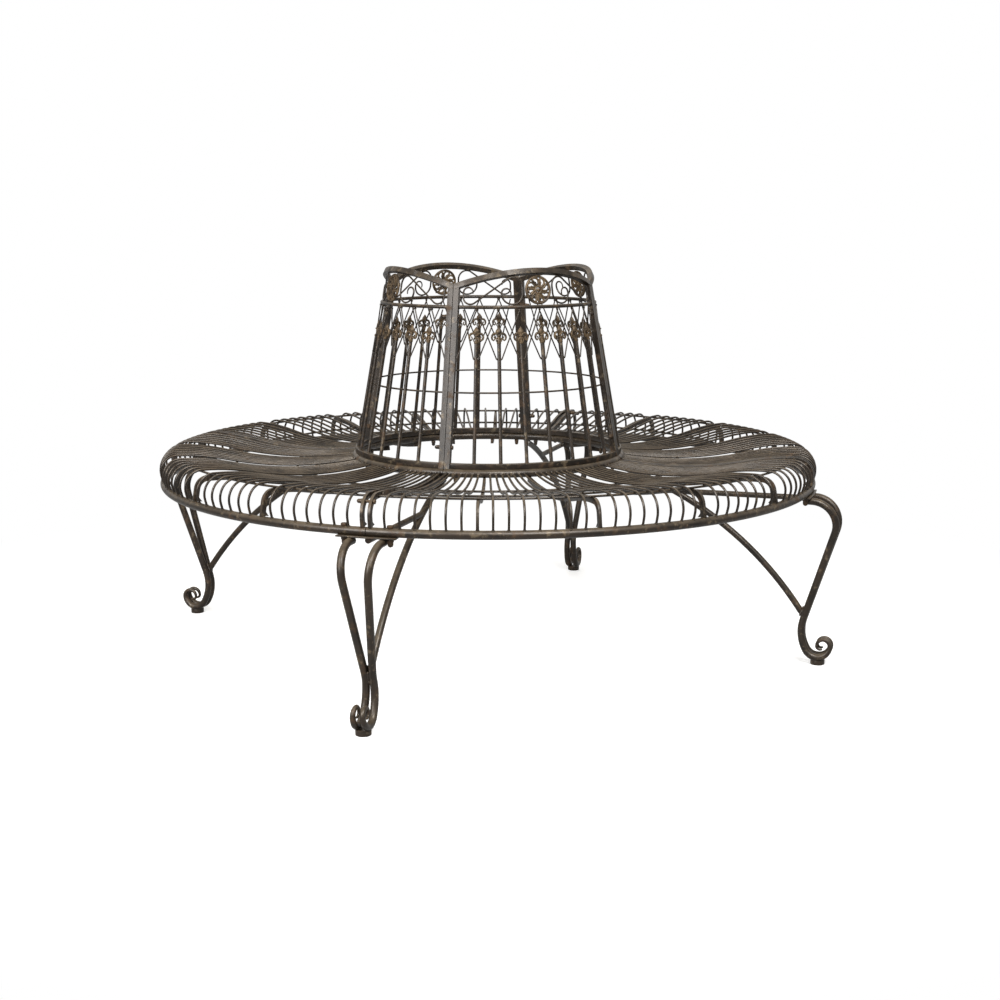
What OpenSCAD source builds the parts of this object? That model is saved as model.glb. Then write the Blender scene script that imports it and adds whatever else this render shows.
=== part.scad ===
// Round tree bench in wrought steel: four quarter seats, four back panels and four scrolled legs.
// Millimetres, +Z up. The origin is on the ground, in the middle of the tree opening.
// The legs stand at the four joints between the quarters, on the X and Y axes.

/* [Seat] */
// Diameter over the seat wires
seat_d = 1530; // [1450:5:1700]
// Height of the seat crown above the ground
crown_h = 472; // [450:1:500]
// Depth of the dish of the seat below its crown
dish_drop = 31.5; // [26:0.5:36]
// Radius at which the dish is lowest
dish_r = 440; // [420:1:480]
// Radius of the dish arc
dish_arc_r = 800; // [700:10:900]
// Radius of the rolled front edge of the seat, to the wire centre
curl_r = 38; // [30:1:40]
// Drop from the crown of the seat to the rim tube centre
rim_drop = 72; // [66:1:80]
// Diameter of the rim tube and of the inner rail
tube_d = 18; // [16:0.5:21]
// Radius of the inner rail centre line
rail_r = 312; // [300:1:330]
// Diameter of a seat wire
wire_d = 5; // [4:0.5:6]
// Diameter of the hoops under the seat wires
hoop_d = 5; // [4:0.5:6]
// Distance inwards from the crown of the seat to the inner hoop
inner_hoop_in = 272.5; // [250:0.5:290]
// Distance inwards from the crown of the seat to the middle hoop
middle_hoop_in = 134.5; // [118:0.5:150]
// Distance inwards from the crown of the seat to the outer hoop
outer_hoop_in = 5.5; // [4:0.5:10]
// Depth of a flat seat rib
rib_depth = 12; // [11:0.5:16]
// Thickness of a flat seat rib
rib_t = 6; // [4:0.5:7]
// Distance between the two end ribs at a joint, centre to centre
end_rib_gap = 16; // [14:1:20]
// Gap between the tube ends of two neighbouring quarters
joint_gap = 1.5; // [0.5:0.5:3]

/* [Back] */
// Side of the square back tube
frame_t = 12; // [10:0.5:14]
// Distance by which the bottom rail of the back stands inwards of the inner rail
foot_rail_in = 4; // [0:0.5:6]
// Radius of the back at the corner of the arch
arch_corner_r = 240; // [220:1:260]
// Height of the corner of the arch above the ground
arch_corner_h = 851; // [830:1:870]
// Radius of the back at the top of the arch
arch_top_r = 235; // [215:1:250]
// Rise of the arch from its corners to its top
arch_rise = 32; // [28:0.5:38]
// Drop from the corners of the arch to the band rail
band_drop = 45; // [40:0.5:52]
// Diameter of the band rail
band_d = 8; // [6:0.5:10]
// Height of the thin middle hoop of the back
mid_hoop_h = 621; // [580:1:660]
// Diameter of the thin middle hoop of the back
mid_hoop_d = 4; // [3:0.5:5]
// Number of pickets in a back panel
picket_count = 7; // [5:2:9]
// Diameter of a picket
picket_d = 8; // [6:0.5:9]
// Drop from the band rail to the top of a picket, where its finial sits
picket_drop = 79; // [70:1:90]
// Drop from the top of a picket to where the lattice wires leave it
fork_drop = 33; // [28:1:40]
// Diameter of a lattice wire
lattice_d = 3; // [2:0.5:3.5]
// Width of a finial
finial_w = 28; // [24:0.5:28]
// Height of a finial
finial_h = 38; // [34:0.5:42]
// Thickness of a finial or a medallion
casting_t = 6; // [4:0.5:7]
// Diameter of a scroll wire
scroll_d = 4; // [3:0.5:4.5]

/* [Legs] */
// Distance outwards from the rim tube centre to a foot
foot_out = 32; // [26:1:40]
// Diameter of a leg bar
leg_d = 16; // [14:0.5:18]
// Radius of the foot scroll of a leg bar
foot_bend_r = 29; // [27:0.5:32]
// Radius of the calf bend above the foot scroll
calf_bend_r = 90; // [80:1:100]
// Radius of the shoulder bend under the rim
shoulder_bend_r = 55; // [50:1:60]
// Slope of the straight part of a leg bar
leg_slope = 72.5; // [70:0.5:76]
// Angle by which each leg bar spreads sideways above the weld
leg_spread = 5.1; // [4:0.1:6]
// Angle by which each leg bar turns outwards below the weld
leg_toe = 2; // [1.2:0.1:3]
// Diameter of the foot pad
pad_d = 32; // [30:1:40]
// Height of the foot pad
pad_h = 12; // [10:1:16]
// Diameter of the brace and of the strut
brace_d = 12.7; // [10:0.1:14]
// Radius of the bow of the brace
brace_bow_r = 780; // [650:10:1000]
// Length of the plate under the rim
plate_l = 124; // [116:1:140]
// Width of the plate under the rim
plate_w = 25; // [20:1:30]
// Thickness of the plate under the rim
plate_t = 3; // [2:0.5:4]
// Distance between the two bolts of the plate
plate_bolts = 96; // [90:1:100]

/* [Fasteners] */
// Diameter of the rim bolts
rim_bolt_d = 8; // [6:1:10]
// Diameter of the other bolts
small_bolt_d = 6; // [5:1:6]
// Height above the bottom rail of the lower bolt through two neighbouring posts
low_post_bolt_rise = 39.5; // [30:0.5:60]
// Drop from the band rail to the upper bolt through two neighbouring posts
high_post_bolt_drop = 21; // [18:0.5:30]
// Distance inwards from the crown of the seat to the inner bolt through the end ribs
rib_bolt_in = 24.5; // [20:0.5:60]

/* [Hidden] */
$fn = 48;
// clearance of a hole round what passes through it, on the diameter
hole_play = 0.6;
// gap left at a weld, where a bar end meets another bar
seat_gap = 0.2;
// a bent bar is one solid: each stretch runs a little way into the next, which is a hair thicker
lap = 0.5;
lap_step = 0.04;
leg_lap_step = 0.1;
QUARTERS = [1:4];
QUARTER_PIECES = [
    "seat_rim", "seat_inner_rail", "seat_end_ribs", "seat_ribs", "seat_wires", "seat_hoops",
    "back_frame", "back_rails", "back_pickets", "back_lattice", "back_scrolls", "leg_bars"
];
SHARED_PIECES = [
    "leg_braces", "leg_struts", "rim_plates", "foot_pads", "finials", "medallions",
    "rim_bolts", "rail_studs", "rib_bolts", "post_bolts", "cap_nuts"
];

bronze = "#4a4038";
bronze_light = "#5b5148";
bronze_rust = "#5e4a36";

// seat profile, in the plane of a wire: x is the radius, y the height
wire_r = wire_d / 2;
dish_h = crown_h - dish_drop;
rim_h = crown_h - rim_drop;
rim_r = seat_d / 2 - 1 - tube_d / 2;
rim_c = [rim_r, rim_h];
curl_c = [seat_d / 2 - wire_r - curl_r, crown_h - wire_r - curl_r];
dish_c = [dish_r, dish_h - wire_r + dish_arc_r];
arc_sum = ((curl_c.x - dish_r) ^ 2 + dish_drop ^ 2) / (2 * dish_drop);
crown_arc_r = arc_sum - dish_arc_r;
crown_c = [curl_c.x, crown_h - wire_r - crown_arc_r];
lean_at_turn = asin((curl_c.x - dish_r) / arc_sum);
turn_r = dish_r + dish_arc_r * sin(lean_at_turn);
// the inner rail lies where the dish arc reaches it
rail_h = dish_c.y - sqrt(dish_arc_r ^ 2 - (dish_r - rail_r) ^ 2);
rail_c = [rail_r, rail_h];
// a wire or rib whose curl has radius r leaves it on the line that points at the middle of the rim tube
rim_reach = norm(rim_c - curl_c);
function tail_l(r) = sqrt(rim_reach ^ 2 - r ^ 2);
function curl_end_a(r) = atan2(rim_c.y - curl_c.y, rim_c.x - curl_c.x) + acos(r / rim_reach);

// pattern round a quarter
end_rib_a = asin(end_rib_gap / 2 / rim_r);
wire_steps = 39;
ribs_at = [7, 15, 23, 31];
wire_pitch = (90 - 2 * end_rib_a) / wire_steps;
function wire_a(i) = -45 + end_rib_a + i * wire_pitch;
function is_rib(i) = len(search(i, ribs_at)) > 0;

// hoops, just under the wires
hoop_drop = (wire_d + hoop_d) / 2 + 0.1;
function hoop_at(r) = r < turn_r
    ? let (a = -90 + asin((r - dish_r) / dish_arc_r))
        dish_c + (dish_arc_r + hoop_drop) * [cos(a), sin(a)]
    : let (a = 90 + asin((curl_c.x - r) / crown_arc_r))
        crown_c + (crown_arc_r - hoop_drop) * [cos(a), sin(a)];
hoops = [for (in = [inner_hoop_in, middle_hoop_in, outer_hoop_in]) hoop_at(curl_c.x - in)];
rib_face = end_rib_gap / 2 + rib_t / 2 + seat_gap;
// an end rib is level with the wires on top, and the ribs between the wires carry the hoops
end_rib_drop = (rib_depth - wire_d) / 2;
low_rib_drop = hoop_drop + hoop_d / 2 + 0.1 + rib_depth / 2;

// back: a cone that narrows upwards
foot_rail_h = rail_h + (tube_d + frame_t) / 2 + seat_gap;
foot_rail_r = rail_r - foot_rail_in;
arch_top_h = arch_corner_h + arch_rise;
band_h = arch_corner_h - band_drop;
picket_h = band_h - picket_drop;
fork_h = picket_h - fork_drop;
back_slope = (foot_rail_r - arch_corner_r) / (arch_corner_h - foot_rail_h);
back_lean = atan(back_slope);
function back_r(h) = foot_rail_r - back_slope * (h - foot_rail_h);
post_off = frame_t / 2 + joint_gap / 2;
post_face = post_off + frame_t / 2 + seat_gap;
// the arch is one bend in a sloping plane, from corner to corner over its top
corner_x = (arch_corner_r + post_off) * cos(45);
corner_y = (arch_corner_r - post_off) * sin(45);
arch_in = arch_top_r - corner_x;
arch_tilt = atan2(arch_rise, arch_in);
arch_sag = norm([arch_in, arch_rise]);
arch_bend_r = (corner_y ^ 2 + arch_sag ^ 2) / (2 * arch_sag);
arch_half_a = asin(corner_y / arch_bend_r);
picket_pitch = (90 - 2 * asin(post_off / back_r(mid_hoop_h))) / (picket_count + 1);
function picket_a(i) = (i - (picket_count + 1) / 2) * picket_pitch;

// leg bar, in its own plane: x is the radius, y the height
bar_off = leg_d / 2 + 0.1;
saddle = 2;
foot_h = pad_h - saddle + leg_d / 2;
foot_r = rim_r + foot_out;
foot_c = [foot_r - 1, foot_h + foot_bend_r];
foot_turn = 60;
calf_c = foot_c + (calf_bend_r - foot_bend_r) * [cos(90 - foot_turn), sin(90 - foot_turn)];
calf_top = calf_c + calf_bend_r * [-sin(leg_slope), cos(leg_slope)];
spread_bend_r = 120;
toe_up = spread_bend_r * sin(leg_toe);
toe_out = spread_bend_r * (1 - cos(leg_toe));
toe_tilt = atan(tan(leg_toe) / sin(leg_slope));
weld_p = calf_top + toe_up * [cos(leg_slope), sin(leg_slope)];
spread_up = spread_bend_r * sin(leg_spread);
spread_out = spread_bend_r * (1 - cos(leg_spread));
plane_tilt = atan(tan(leg_spread) / sin(leg_slope));
upper_slope = acos(cos(leg_spread) * cos(leg_slope));
upper_p = weld_p + spread_up * [cos(leg_slope), sin(leg_slope)];
plate_h = rim_h - tube_d / 2 - plate_t;
shoulder_h = plate_h - seat_gap - leg_d / 2;
upper_l = ((shoulder_h - upper_p.y) / cos(plane_tilt) - shoulder_bend_r * (1 + cos(upper_slope)))
    / sin(upper_slope);
shoulder_x = upper_l * cos(upper_slope) - shoulder_bend_r * sin(upper_slope);
shoulder_l = upper_p.x + shoulder_x - rim_r + 6;

// brace: one bow from the weld of the leg bars to the inner rail
brace_foot = weld_p + [-(leg_d + brace_d) / 2 * 0.8, 16];
brace_head = rail_c + (tube_d + brace_d) / 2 * [0.3, -0.95];
brace_chord = norm(brace_foot - brace_head);
brace_chord_a = atan2(brace_head.y - brace_foot.y, brace_head.x - brace_foot.x);
brace_half_a = asin(brace_chord / 2 / brace_bow_r);
brace_c = (brace_foot + brace_head) / 2
    - brace_bow_r * cos(brace_half_a) * [cos(brace_chord_a - 90), sin(brace_chord_a - 90)];
strut_h = plate_h - seat_gap - brace_d / 2;
strut_in_r = brace_c.x + sqrt(brace_bow_r ^ 2 - (strut_h - brace_c.y) ^ 2);

// medallion between the band rail and the lowest edge of the arch's top
band_top = band_h + band_d / 2;
medallion_low = band_top + seat_gap;
medallion_high = arch_top_h - frame_t / 2 * (cos(arch_tilt) + sin(arch_tilt)) - seat_gap;
medallion_d = (medallion_high - medallion_low - casting_t * sin(back_lean)) / cos(back_lean);

// scroll in a back panel: x runs along the band from the panel's middle, y is the height
scroll_rest = band_top + scroll_d / 2 + seat_gap;
panel_r = back_r((band_h + arch_top_h) / 2);
function panel_a(x) = x / panel_r * 180 / PI;
function arch_under(x) =
    let (turn = asin(panel_r * sin(panel_a(x)) / arch_bend_r))
    arch_top_h - arch_bend_r * (1 - cos(turn)) * sin(arch_tilt) - frame_t / 2;
scroll_sides = 6;
medallion_gap = 3.3;
arch_gap = 1;
hook_gap = 2.5;
post_gap = 7;
volute_r = 23.5;
volute_c = [medallion_d / 2 + medallion_gap + scroll_d / 2 + volute_r, scroll_rest + volute_r];
cap_r = 20;
cap_x = volute_c.x - volute_r + cap_r;
cap_c = [cap_x, arch_under(cap_x) - arch_gap - scroll_d / 2 - cap_r];
curl_hook_r = 10.5;
tail_r = 15.5;
scroll_end_x = panel_r * (45 - asin(post_face / panel_r)) * PI / 180 - post_gap - scroll_d / 2;
tail_c = [scroll_end_x - tail_r, scroll_rest + tail_r];
hook_x = scroll_end_x - curl_hook_r;
hook_c = [hook_x, arch_under(hook_x) - hook_gap - scroll_d / 2 - curl_hook_r];
// the straight stretch runs from over the cap to under the tail
scroll_slope = asin((cap_r + tail_r) / norm(tail_c - cap_c))
    + atan2(cap_c.y - tail_c.y, tail_c.x - cap_c.x);

// Shapes that several pieces use

// Part of a ring in the upright plane: centre c, radius r, from angle a0 to a1, of the profile given
module upright_arc(c, r, a0, a1) {
    translate([c.x, 0, c.y]) rotate([90, 0, 0]) rotate([0, 0, a0])
        rotate_extrude(angle = a1 - a0) translate([r, 0]) children();
}

// Part of a level ring: radius and height p, over half_a to each side of the quarter's middle
module level_arc(p, half_a) {
    translate([0, 0, p.y]) rotate([0, 0, -half_a])
        rotate_extrude(angle = 2 * half_a) translate([p.x, 0]) children();
}

// Straight bar in the upright plane from point p, at slope a, of length l and the profile given
module upright_bar(p, a, l) {
    translate([p.x, 0, p.y]) rotate([0, 90 - a, 0]) linear_extrude(l) children();
}

// Angle by which an arc of radius r is lengthened to run into the next stretch
function lap_a(r) = lap / r * 180 / PI;

// A quarter's pieces are drawn with the quarter's middle on +X
module in_quarter(q) {
    rotate([0, 0, 90 * (q - 1) - 45]) children();
}

// A joint's pieces are drawn with the joint on +X
module at_joint(q) {
    rotate([0, 0, 90 * (q - 1) - 90]) children();
}

module at_joints() {
    for (q = QUARTERS) at_joint(q) children();
}

// Both ends of a quarter, with the joint plane on +X and the quarter on the side of -Y
module at_both_ends() {
    rotate([0, 0, 45]) children();
    mirror([0, 1, 0]) rotate([0, 0, 45]) children();
}

// Seat

module seat_rim(q) {
    color(bronze_rust) in_quarter(q) difference() {
        level_arc(rim_c, 45 - asin(joint_gap / 2 / rim_r)) circle(d = tube_d);
        at_both_ends() rotate([0, 0, -asin(plate_bolts / 2 / rim_r)])
            translate([rim_r, 0, rim_h - tube_d]) cylinder(d = rim_bolt_d + hole_play, h = 2 * tube_d);
    }
}

module seat_inner_rail(q) {
    color(bronze) in_quarter(q) difference() {
        level_arc(rail_c, 45 - asin(joint_gap / 2 / rail_r)) circle(d = tube_d);
        at_rail_studs() translate([0, 0, rail_h - tube_d])
            cylinder(d = small_bolt_d + hole_play, h = 2 * tube_d);
    }
}

// The curve of a seat wire, dish, crown and rolled edge, for a profile that lies drop below it, from
// a place that lies in_l inwards of where the dish starts. The second child is the same profile,
// thicker by the step of a lap.
module seat_curve(drop, in_l) {
    inner_a = -90 - asin((dish_r - rail_r - tube_d / 2 - seat_gap + in_l) / dish_arc_r);
    r = curl_r - drop;
    end_a = curl_end_a(r);
    upright_arc(dish_c, dish_arc_r + drop, inner_a, -90 + lean_at_turn + lap_a(dish_arc_r)) children(0);
    upright_arc(crown_c, crown_arc_r - drop, 90, 90 + lean_at_turn) children(1);
    upright_arc(curl_c, r, end_a - lap_a(curl_r), 90 + lap_a(curl_r)) children(0);
    upright_bar(curl_c + r * [cos(end_a), sin(end_a)], end_a - 90, tail_l(r) - tube_d / 2 - seat_gap)
        children(1);
}

module seat_wires(q) {
    color(bronze_light) in_quarter(q)
        for (i = [1 : wire_steps - 1])
            if (!is_rib(i))
                rotate([0, 0, wire_a(i)]) seat_curve(0, 0) {
                    circle(d = wire_d);
                    circle(d = wire_d + lap_step);
                }
}

// Flat bar on edge with its middle drop below the line of the wires
module seat_rib(drop, in_l) {
    seat_curve(drop, in_l) {
        square([rib_depth, rib_t], center = true);
        square([rib_depth + lap_step, rib_t + lap_step], center = true);
    }
    rib_gusset(curl_r - drop);
}

// Small gusset where a rib whose curl has radius r lands on the rim tube
module rib_gusset(r) {
    size = 9;
    end_a = curl_end_a(r);
    root = curl_c + (r - rib_depth / 2) * [cos(end_a), sin(end_a)];
    along = [sin(end_a), -cos(end_a)];
    foot = root + (tail_l(r) - tube_d / 2 - 1) * along;
    inward = -[cos(end_a), sin(end_a)];
    rotate([90, 0, 0]) linear_extrude(rib_t - lap_step, center = true)
        polygon([foot + size * inward, foot - inward, foot - size * along - inward]);
}

// The ribs between the wires lie under the hoops, and their inner ends are coped to the inner rail
module seat_ribs(q) {
    color(bronze_light) in_quarter(q) difference() {
        for (i = ribs_at) rotate([0, 0, wire_a(i)]) seat_rib(low_rib_drop, tube_d / 2 + seat_gap);
        level_arc(rail_c, 45) circle(d = tube_d + 2 * seat_gap);
    }
}

module seat_end_ribs(q) {
    color(bronze_light) in_quarter(q) at_both_ends() translate([0, -end_rib_gap / 2, 0])
        difference() {
            seat_rib(end_rib_drop, 0);
            at_rib_bolts() cylinder(d = small_bolt_d + hole_play, h = 2 * rib_t, center = true);
        }
}

module seat_hoops(q) {
    color(bronze_light) in_quarter(q)
        for (p = hoops) level_arc(p, 45 - asin(rib_face / p.x)) circle(d = hoop_d);
}

// Back

// Upright bar in the lean of the back, from height h0 to h1 on the cone, moved off by a distance
module leaning_bar(h0, h1, off) {
    translate([back_r(h0), off, h0]) rotate([0, -back_lean, 0])
        linear_extrude((h1 - h0) / cos(back_lean)) children();
}

// Two posts and the arch, bent from one square tube and cut flush at the joints
module back_frame(q) {
    foot = foot_rail_h - frame_t / 2;
    color(bronze) in_quarter(q) difference() {
        union() {
            at_both_ends() leaning_bar(foot - 3, arch_corner_h + 1, -post_off)
                square(frame_t, center = true);
            difference() {
                translate([arch_top_r, 0, arch_top_h]) rotate([0, -arch_tilt, 0])
                    translate([-arch_bend_r, 0, 0]) rotate([0, 0, -arch_half_a - 3])
                        rotate_extrude(angle = 2 * arch_half_a + 6)
                            translate([arch_bend_r, 0]) square(frame_t, center = true);
                at_both_ends() translate([0, -joint_gap / 2, arch_corner_h - 2 * frame_t])
                    cube([2 * arch_corner_r, 4 * frame_t, 4 * frame_t]);
            }
        }
        translate([0, -foot_rail_r, foot - frame_t])
            cube([2 * foot_rail_r, 2 * foot_rail_r, frame_t]);
        at_both_ends() at_post_bolts() cylinder(d = small_bolt_d + hole_play, h = 4 * frame_t, center = true);
    }
}

module back_rails(q) {
    hoop_r = back_r(mid_hoop_h) - (picket_d + mid_hoop_d) / 2 / cos(back_lean) - seat_gap;
    color(bronze) in_quarter(q) {
        level_arc([foot_rail_r, foot_rail_h], 45 - asin(post_face / (foot_rail_r - frame_t / 2)))
            square(frame_t, center = true);
        level_arc([hoop_r, mid_hoop_h], 45 - asin(post_face / (hoop_r - mid_hoop_d / 2)))
            circle(d = mid_hoop_d);
        level_arc([back_r(band_h), band_h], 45 - asin(post_face / (back_r(band_h) - band_d / 2)))
            circle(d = band_d);
    }
}

module back_pickets(q) {
    color(bronze) in_quarter(q)
        for (i = [1 : picket_count]) rotate([0, 0, picket_a(i)])
            leaning_bar(foot_rail_h + frame_t / 2 + 1, picket_h, 0) circle(d = picket_d);
}

// Point on the back at angle a and height h, moved out by a distance
function on_back(a, h, out) = [(back_r(h) + out) * cos(a), (back_r(h) + out) * sin(a), h];

module round_bar_between(p, s, d) {
    v = s - p;
    translate(p) rotate([0, acos(v.z / norm(v)), atan2(v.y, v.x)]) cylinder(d = d, h = norm(v));
}

// From each upright two wires run up to the band rail, above the uprights next to it
module back_lattice(q) {
    top_h = band_h - (band_d + lattice_d) / 2 - seat_gap;
    layer = lattice_d / 2 + 0.5;
    last = picket_count + 1;
    color(bronze_light) in_quarter(q)
        for (i = [0 : last], side = [-1, 1]) {
            to = i + side;
            if (to >= 0 && to <= last)
                round_bar_between(
                    on_back(fork_a(i, side, fork_h, picket_d), fork_h, side * layer),
                    on_back(fork_a(to, -side, top_h, 0), top_h, side * layer), lattice_d);
        }
}

// Angle at height h of a lattice wire's end on the side of upright i, and of one above it. Before the
// first picket and after the last the uprights are the posts, where the upper end clears the nut.
function fork_a(i, side, h, d) =
    let (
        off = post_face + (d == 0 ? nut_l(small_bolt_d) - 2 : lattice_d / 2),
        beside = d == 0 ? 0 : (d + lattice_d) / 2 + seat_gap
    )
    i == 0 ? -45 + asin(off / back_r(h))
    : i == picket_count + 1 ? 45 - asin(off / back_r(h))
    : picket_a(i) + side * asin(beside / back_r(h));

// One scroll wire from its inner hook to its outer hook: arcs listed as points along the band
function arc_points(c, r, a0, a1, n) =
    [for (i = [0 : n]) let (a = a0 + (a1 - a0) * i / n) [c.x + r * cos(a), c.y + r * sin(a)]];
scroll_path = concat(
    arc_points(volute_c + [volute_r - curl_hook_r, 0], curl_hook_r, 200, 20, 8),
    arc_points(volute_c, volute_r, 0, -180, 12),
    arc_points(cap_c, cap_r, 180, 90 - scroll_slope, 9),
    arc_points(tail_c, tail_r, -90 - scroll_slope, 0, 8),
    arc_points(hook_c, curl_hook_r, 0, 190, 8)
);
function on_panel(p) = on_back(panel_a(p.x), p.y, 0);

// Round tube along a list of points, with its own radius at each
module tube_along(points, radii, sides, up) {
    last = len(points) - 1;
    ring = [for (i = [0 : last])
        let (
            ahead = points[min(i + 1, last)] - points[max(i - 1, 0)],
            t = ahead / norm(ahead),
            n = cross(up, t) / norm(cross(up, t)),
            b = cross(t, n)
        )
        for (k = [0 : sides - 1])
            let (a = 360 * k / sides) points[i] + radii[i] * (cos(a) * n + sin(a) * b)];
    polyhedron(ring, concat(
        [for (i = [0 : last - 1], k = [0 : sides - 1]) let (m = (k + 1) % sides)
            [i * sides + k, (i + 1) * sides + k, i * sides + m]],
        [for (i = [0 : last - 1], k = [0 : sides - 1]) let (m = (k + 1) % sides)
            [i * sides + m, (i + 1) * sides + k, (i + 1) * sides + m]],
        [[for (k = [0 : sides - 1]) k]],
        [[for (k = [sides - 1 : -1 : 0]) last * sides + k]]
    ));
}

module back_scrolls(q) {
    points = [for (p = scroll_path) on_panel(p)];
    color(bronze_light) in_quarter(q) for (side = [0, 1]) mirror([0, side, 0])
        tube_along(points, [for (p = points) scroll_d / 2], scroll_sides, [1, 0, 0]);
}

// Fleur-de-lis casting on the top of a picket: foot, stem, spear and two leaves that curl down
module finial_outline() {
    w = finial_w / 2;
    h = finial_h;
    stem_w = 5;
    curl = [w * 0.62, h * 0.36];
    translate([-picket_d / 2, 0]) square([picket_d, h * 0.12]);
    translate([-stem_w / 2, h * 0.1]) square([stem_w, h * 0.5]);
    polygon([[0, h], [-w * 0.3, h * 0.82], [-w * 0.56, h * 0.66], [-w * 0.4, h * 0.55], [0, h * 0.5],
        [w * 0.4, h * 0.55], [w * 0.56, h * 0.66], [w * 0.3, h * 0.82]]);
    for (side = [0, 1]) mirror([side, 0]) difference() {
        union() {
            translate(curl) circle(d = w * 0.76);
            polygon([[-w * 0.1, h * 0.53], [w * 0.5, h * 0.4], [w * 0.9, h * 0.46],
                [w * 0.45, h * 0.64], [-w * 0.1, h * 0.61]]);
        }
        translate(curl - [w * 0.02, h * 0.01]) circle(d = w * 0.34);
    }
}

module finials() {
    color(bronze_rust) for (q = QUARTERS) in_quarter(q)
        for (i = [1 : picket_count]) rotate([0, 0, picket_a(i)])
            translate([back_r(picket_h), 0, picket_h + seat_gap / 2]) rotate([90, 0, 90])
                rotate([-back_lean, 0, 0]) linear_extrude(casting_t, center = true) finial_outline();
}

// Round openwork casting
module medallion_outline() {
    petals = 8;
    r = medallion_d / 2;
    difference() {
        circle(r);
        circle(r * 0.86);
    }
    difference() {
        circle(r * 0.3);
        circle(r * 0.1);
    }
    for (i = [0 : petals - 1]) rotate(360 / petals * i) difference() {
        union() {
            translate([r * 0.62, 0]) circle(r * 0.27);
            translate([r * 0.2, -r * 0.06]) square([r * 0.4, r * 0.12]);
        }
        translate([r * 0.63, 0]) circle(r * 0.16);
    }
}

module medallions() {
    mid_h = (medallion_low + medallion_high) / 2;
    color(bronze_rust) for (q = QUARTERS) in_quarter(q)
        translate([back_r(mid_h), 0, mid_h]) rotate([90, 0, 90]) rotate([-back_lean, 0, 0])
            linear_extrude(casting_t, center = true) medallion_outline();
}

// Legs

// The stretches of a leg bar that the brace touches, wider by grow where they are cut out of it.
// The two bars of a leg touch in the middle of the spread bend, where they are welded.
module leg_shank(grow) {
    d = leg_d + 2 * grow;
    turn = lap_a(spread_bend_r);
    in_toe() upright_arc(calf_c, calf_bend_r, 90 + leg_slope, 270 - foot_turn)
        circle(d = d + leg_lap_step);
    translate([weld_p.x, spread_bend_r, weld_p.y]) rotate([0, -leg_slope, 0])
        rotate([0, 0, -90 - leg_toe - turn])
            rotate_extrude(angle = leg_toe + leg_spread + 2 * turn)
                translate([spread_bend_r, 0]) circle(d = d);
    in_spread() upright_bar([0, 0], upper_slope, upper_l) circle(d = d + leg_lap_step);
}

// The leaning plane that holds the bar below the spread bend
module in_toe() {
    translate([calf_top.x, toe_out, calf_top.y]) rotate([toe_tilt, 0, 0])
        translate([-calf_top.x, 0, -calf_top.y]) children();
}

// The leaning plane that holds the bar above the spread bend, from where the bend ends
module in_spread() {
    translate([upper_p.x, spread_out, upper_p.y]) rotate([-plane_tilt, 0, 0]) children();
}

module both_bars() {
    for (side = [0, 1]) mirror([0, side, 0]) translate([0, bar_off, 0]) children();
}

module leg_bend_at_foot() {
    upright_arc(foot_c, foot_bend_r, -90 - foot_turn - lap_a(foot_bend_r), -90) circle(d = leg_d);
}

module leg_shoulder() {
    top = upper_l * sin(upper_slope) + shoulder_bend_r * (1 + cos(upper_slope));
    in_spread() {
        upright_arc([shoulder_x, top - shoulder_bend_r], shoulder_bend_r,
            upper_slope - 90 - lap_a(shoulder_bend_r), 90 + lap_a(shoulder_bend_r))
            circle(d = leg_d);
        upright_bar([shoulder_x, top], 180, shoulder_l) circle(d = leg_d + leg_lap_step);
    }
}

// The foot scroll narrows to its tip: bends as radius and angle, one after the other
scroll_bends = [[foot_bend_r, 80], [15, 190], [8, 110]];
scroll_step = 15;
scroll_corners = 12;
foot_turns = [for (b = scroll_bends, i = [1 : round(b[1] / scroll_step)])
    [b[0], b[1] / round(b[1] / scroll_step)]];
function walk(i, p, a) = i == len(foot_turns) ? [p]
    : let (r = foot_turns[i][0], turn = foot_turns[i][1])
        concat([p], walk(i + 1, p + 2 * r * sin(turn / 2) * [cos(a + turn / 2), sin(a + turn / 2)],
            a + turn));
module foot_scroll() {
    path = walk(0, [foot_c.x - lap, foot_h], 0);
    points = [for (p = path) [p.x, 0, p.y]];
    last = len(points) - 1;
    tip_d = 7;
    start_d = (leg_d + 2 * leg_lap_step) / cos(180 / scroll_corners);
    radii = [for (i = [0 : last]) (start_d - (start_d - tip_d) * max(0, i - 3) / (last - 3)) / 2];
    tube_along(points, radii, scroll_corners, [0, 1, 0]);
}

module leg_bars(q) {
    color(bronze) at_joint(q) both_bars() {
        in_toe() {
            foot_scroll();
            leg_bend_at_foot();
        }
        leg_shank(0);
        leg_shoulder();
    }
}

module brace_bow(grow) {
    start_a = atan2(brace_foot.y - brace_c.y, brace_foot.x - brace_c.x);
    upright_arc(brace_c, brace_bow_r, start_a, start_a + 2 * brace_half_a)
        circle(d = brace_d + 2 * grow);
}

module leg_braces() {
    color(bronze) at_joints() difference() {
        brace_bow(0);
        both_bars() leg_shank(seat_gap);
        level_arc(rail_c, 6) circle(d = tube_d + 2 * seat_gap);
    }
}

module leg_struts() {
    color(bronze) at_joints() difference() {
        translate([strut_in_r, 0, strut_h]) rotate([0, 90, 0])
            cylinder(d = brace_d, h = rim_r - strut_in_r - 4);
        brace_bow(seat_gap);
    }
}

module rim_plates() {
    color(bronze) at_joints() difference() {
        level_arc([rim_r, plate_h + plate_t / 2], asin(plate_l / 2 / rim_r))
            square([plate_w, plate_t - 0.1], center = true);
        at_plate_bolts() translate([0, 0, plate_h - 1])
            cylinder(d = rim_bolt_d + hole_play, h = plate_t + 2);
    }
}

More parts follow.
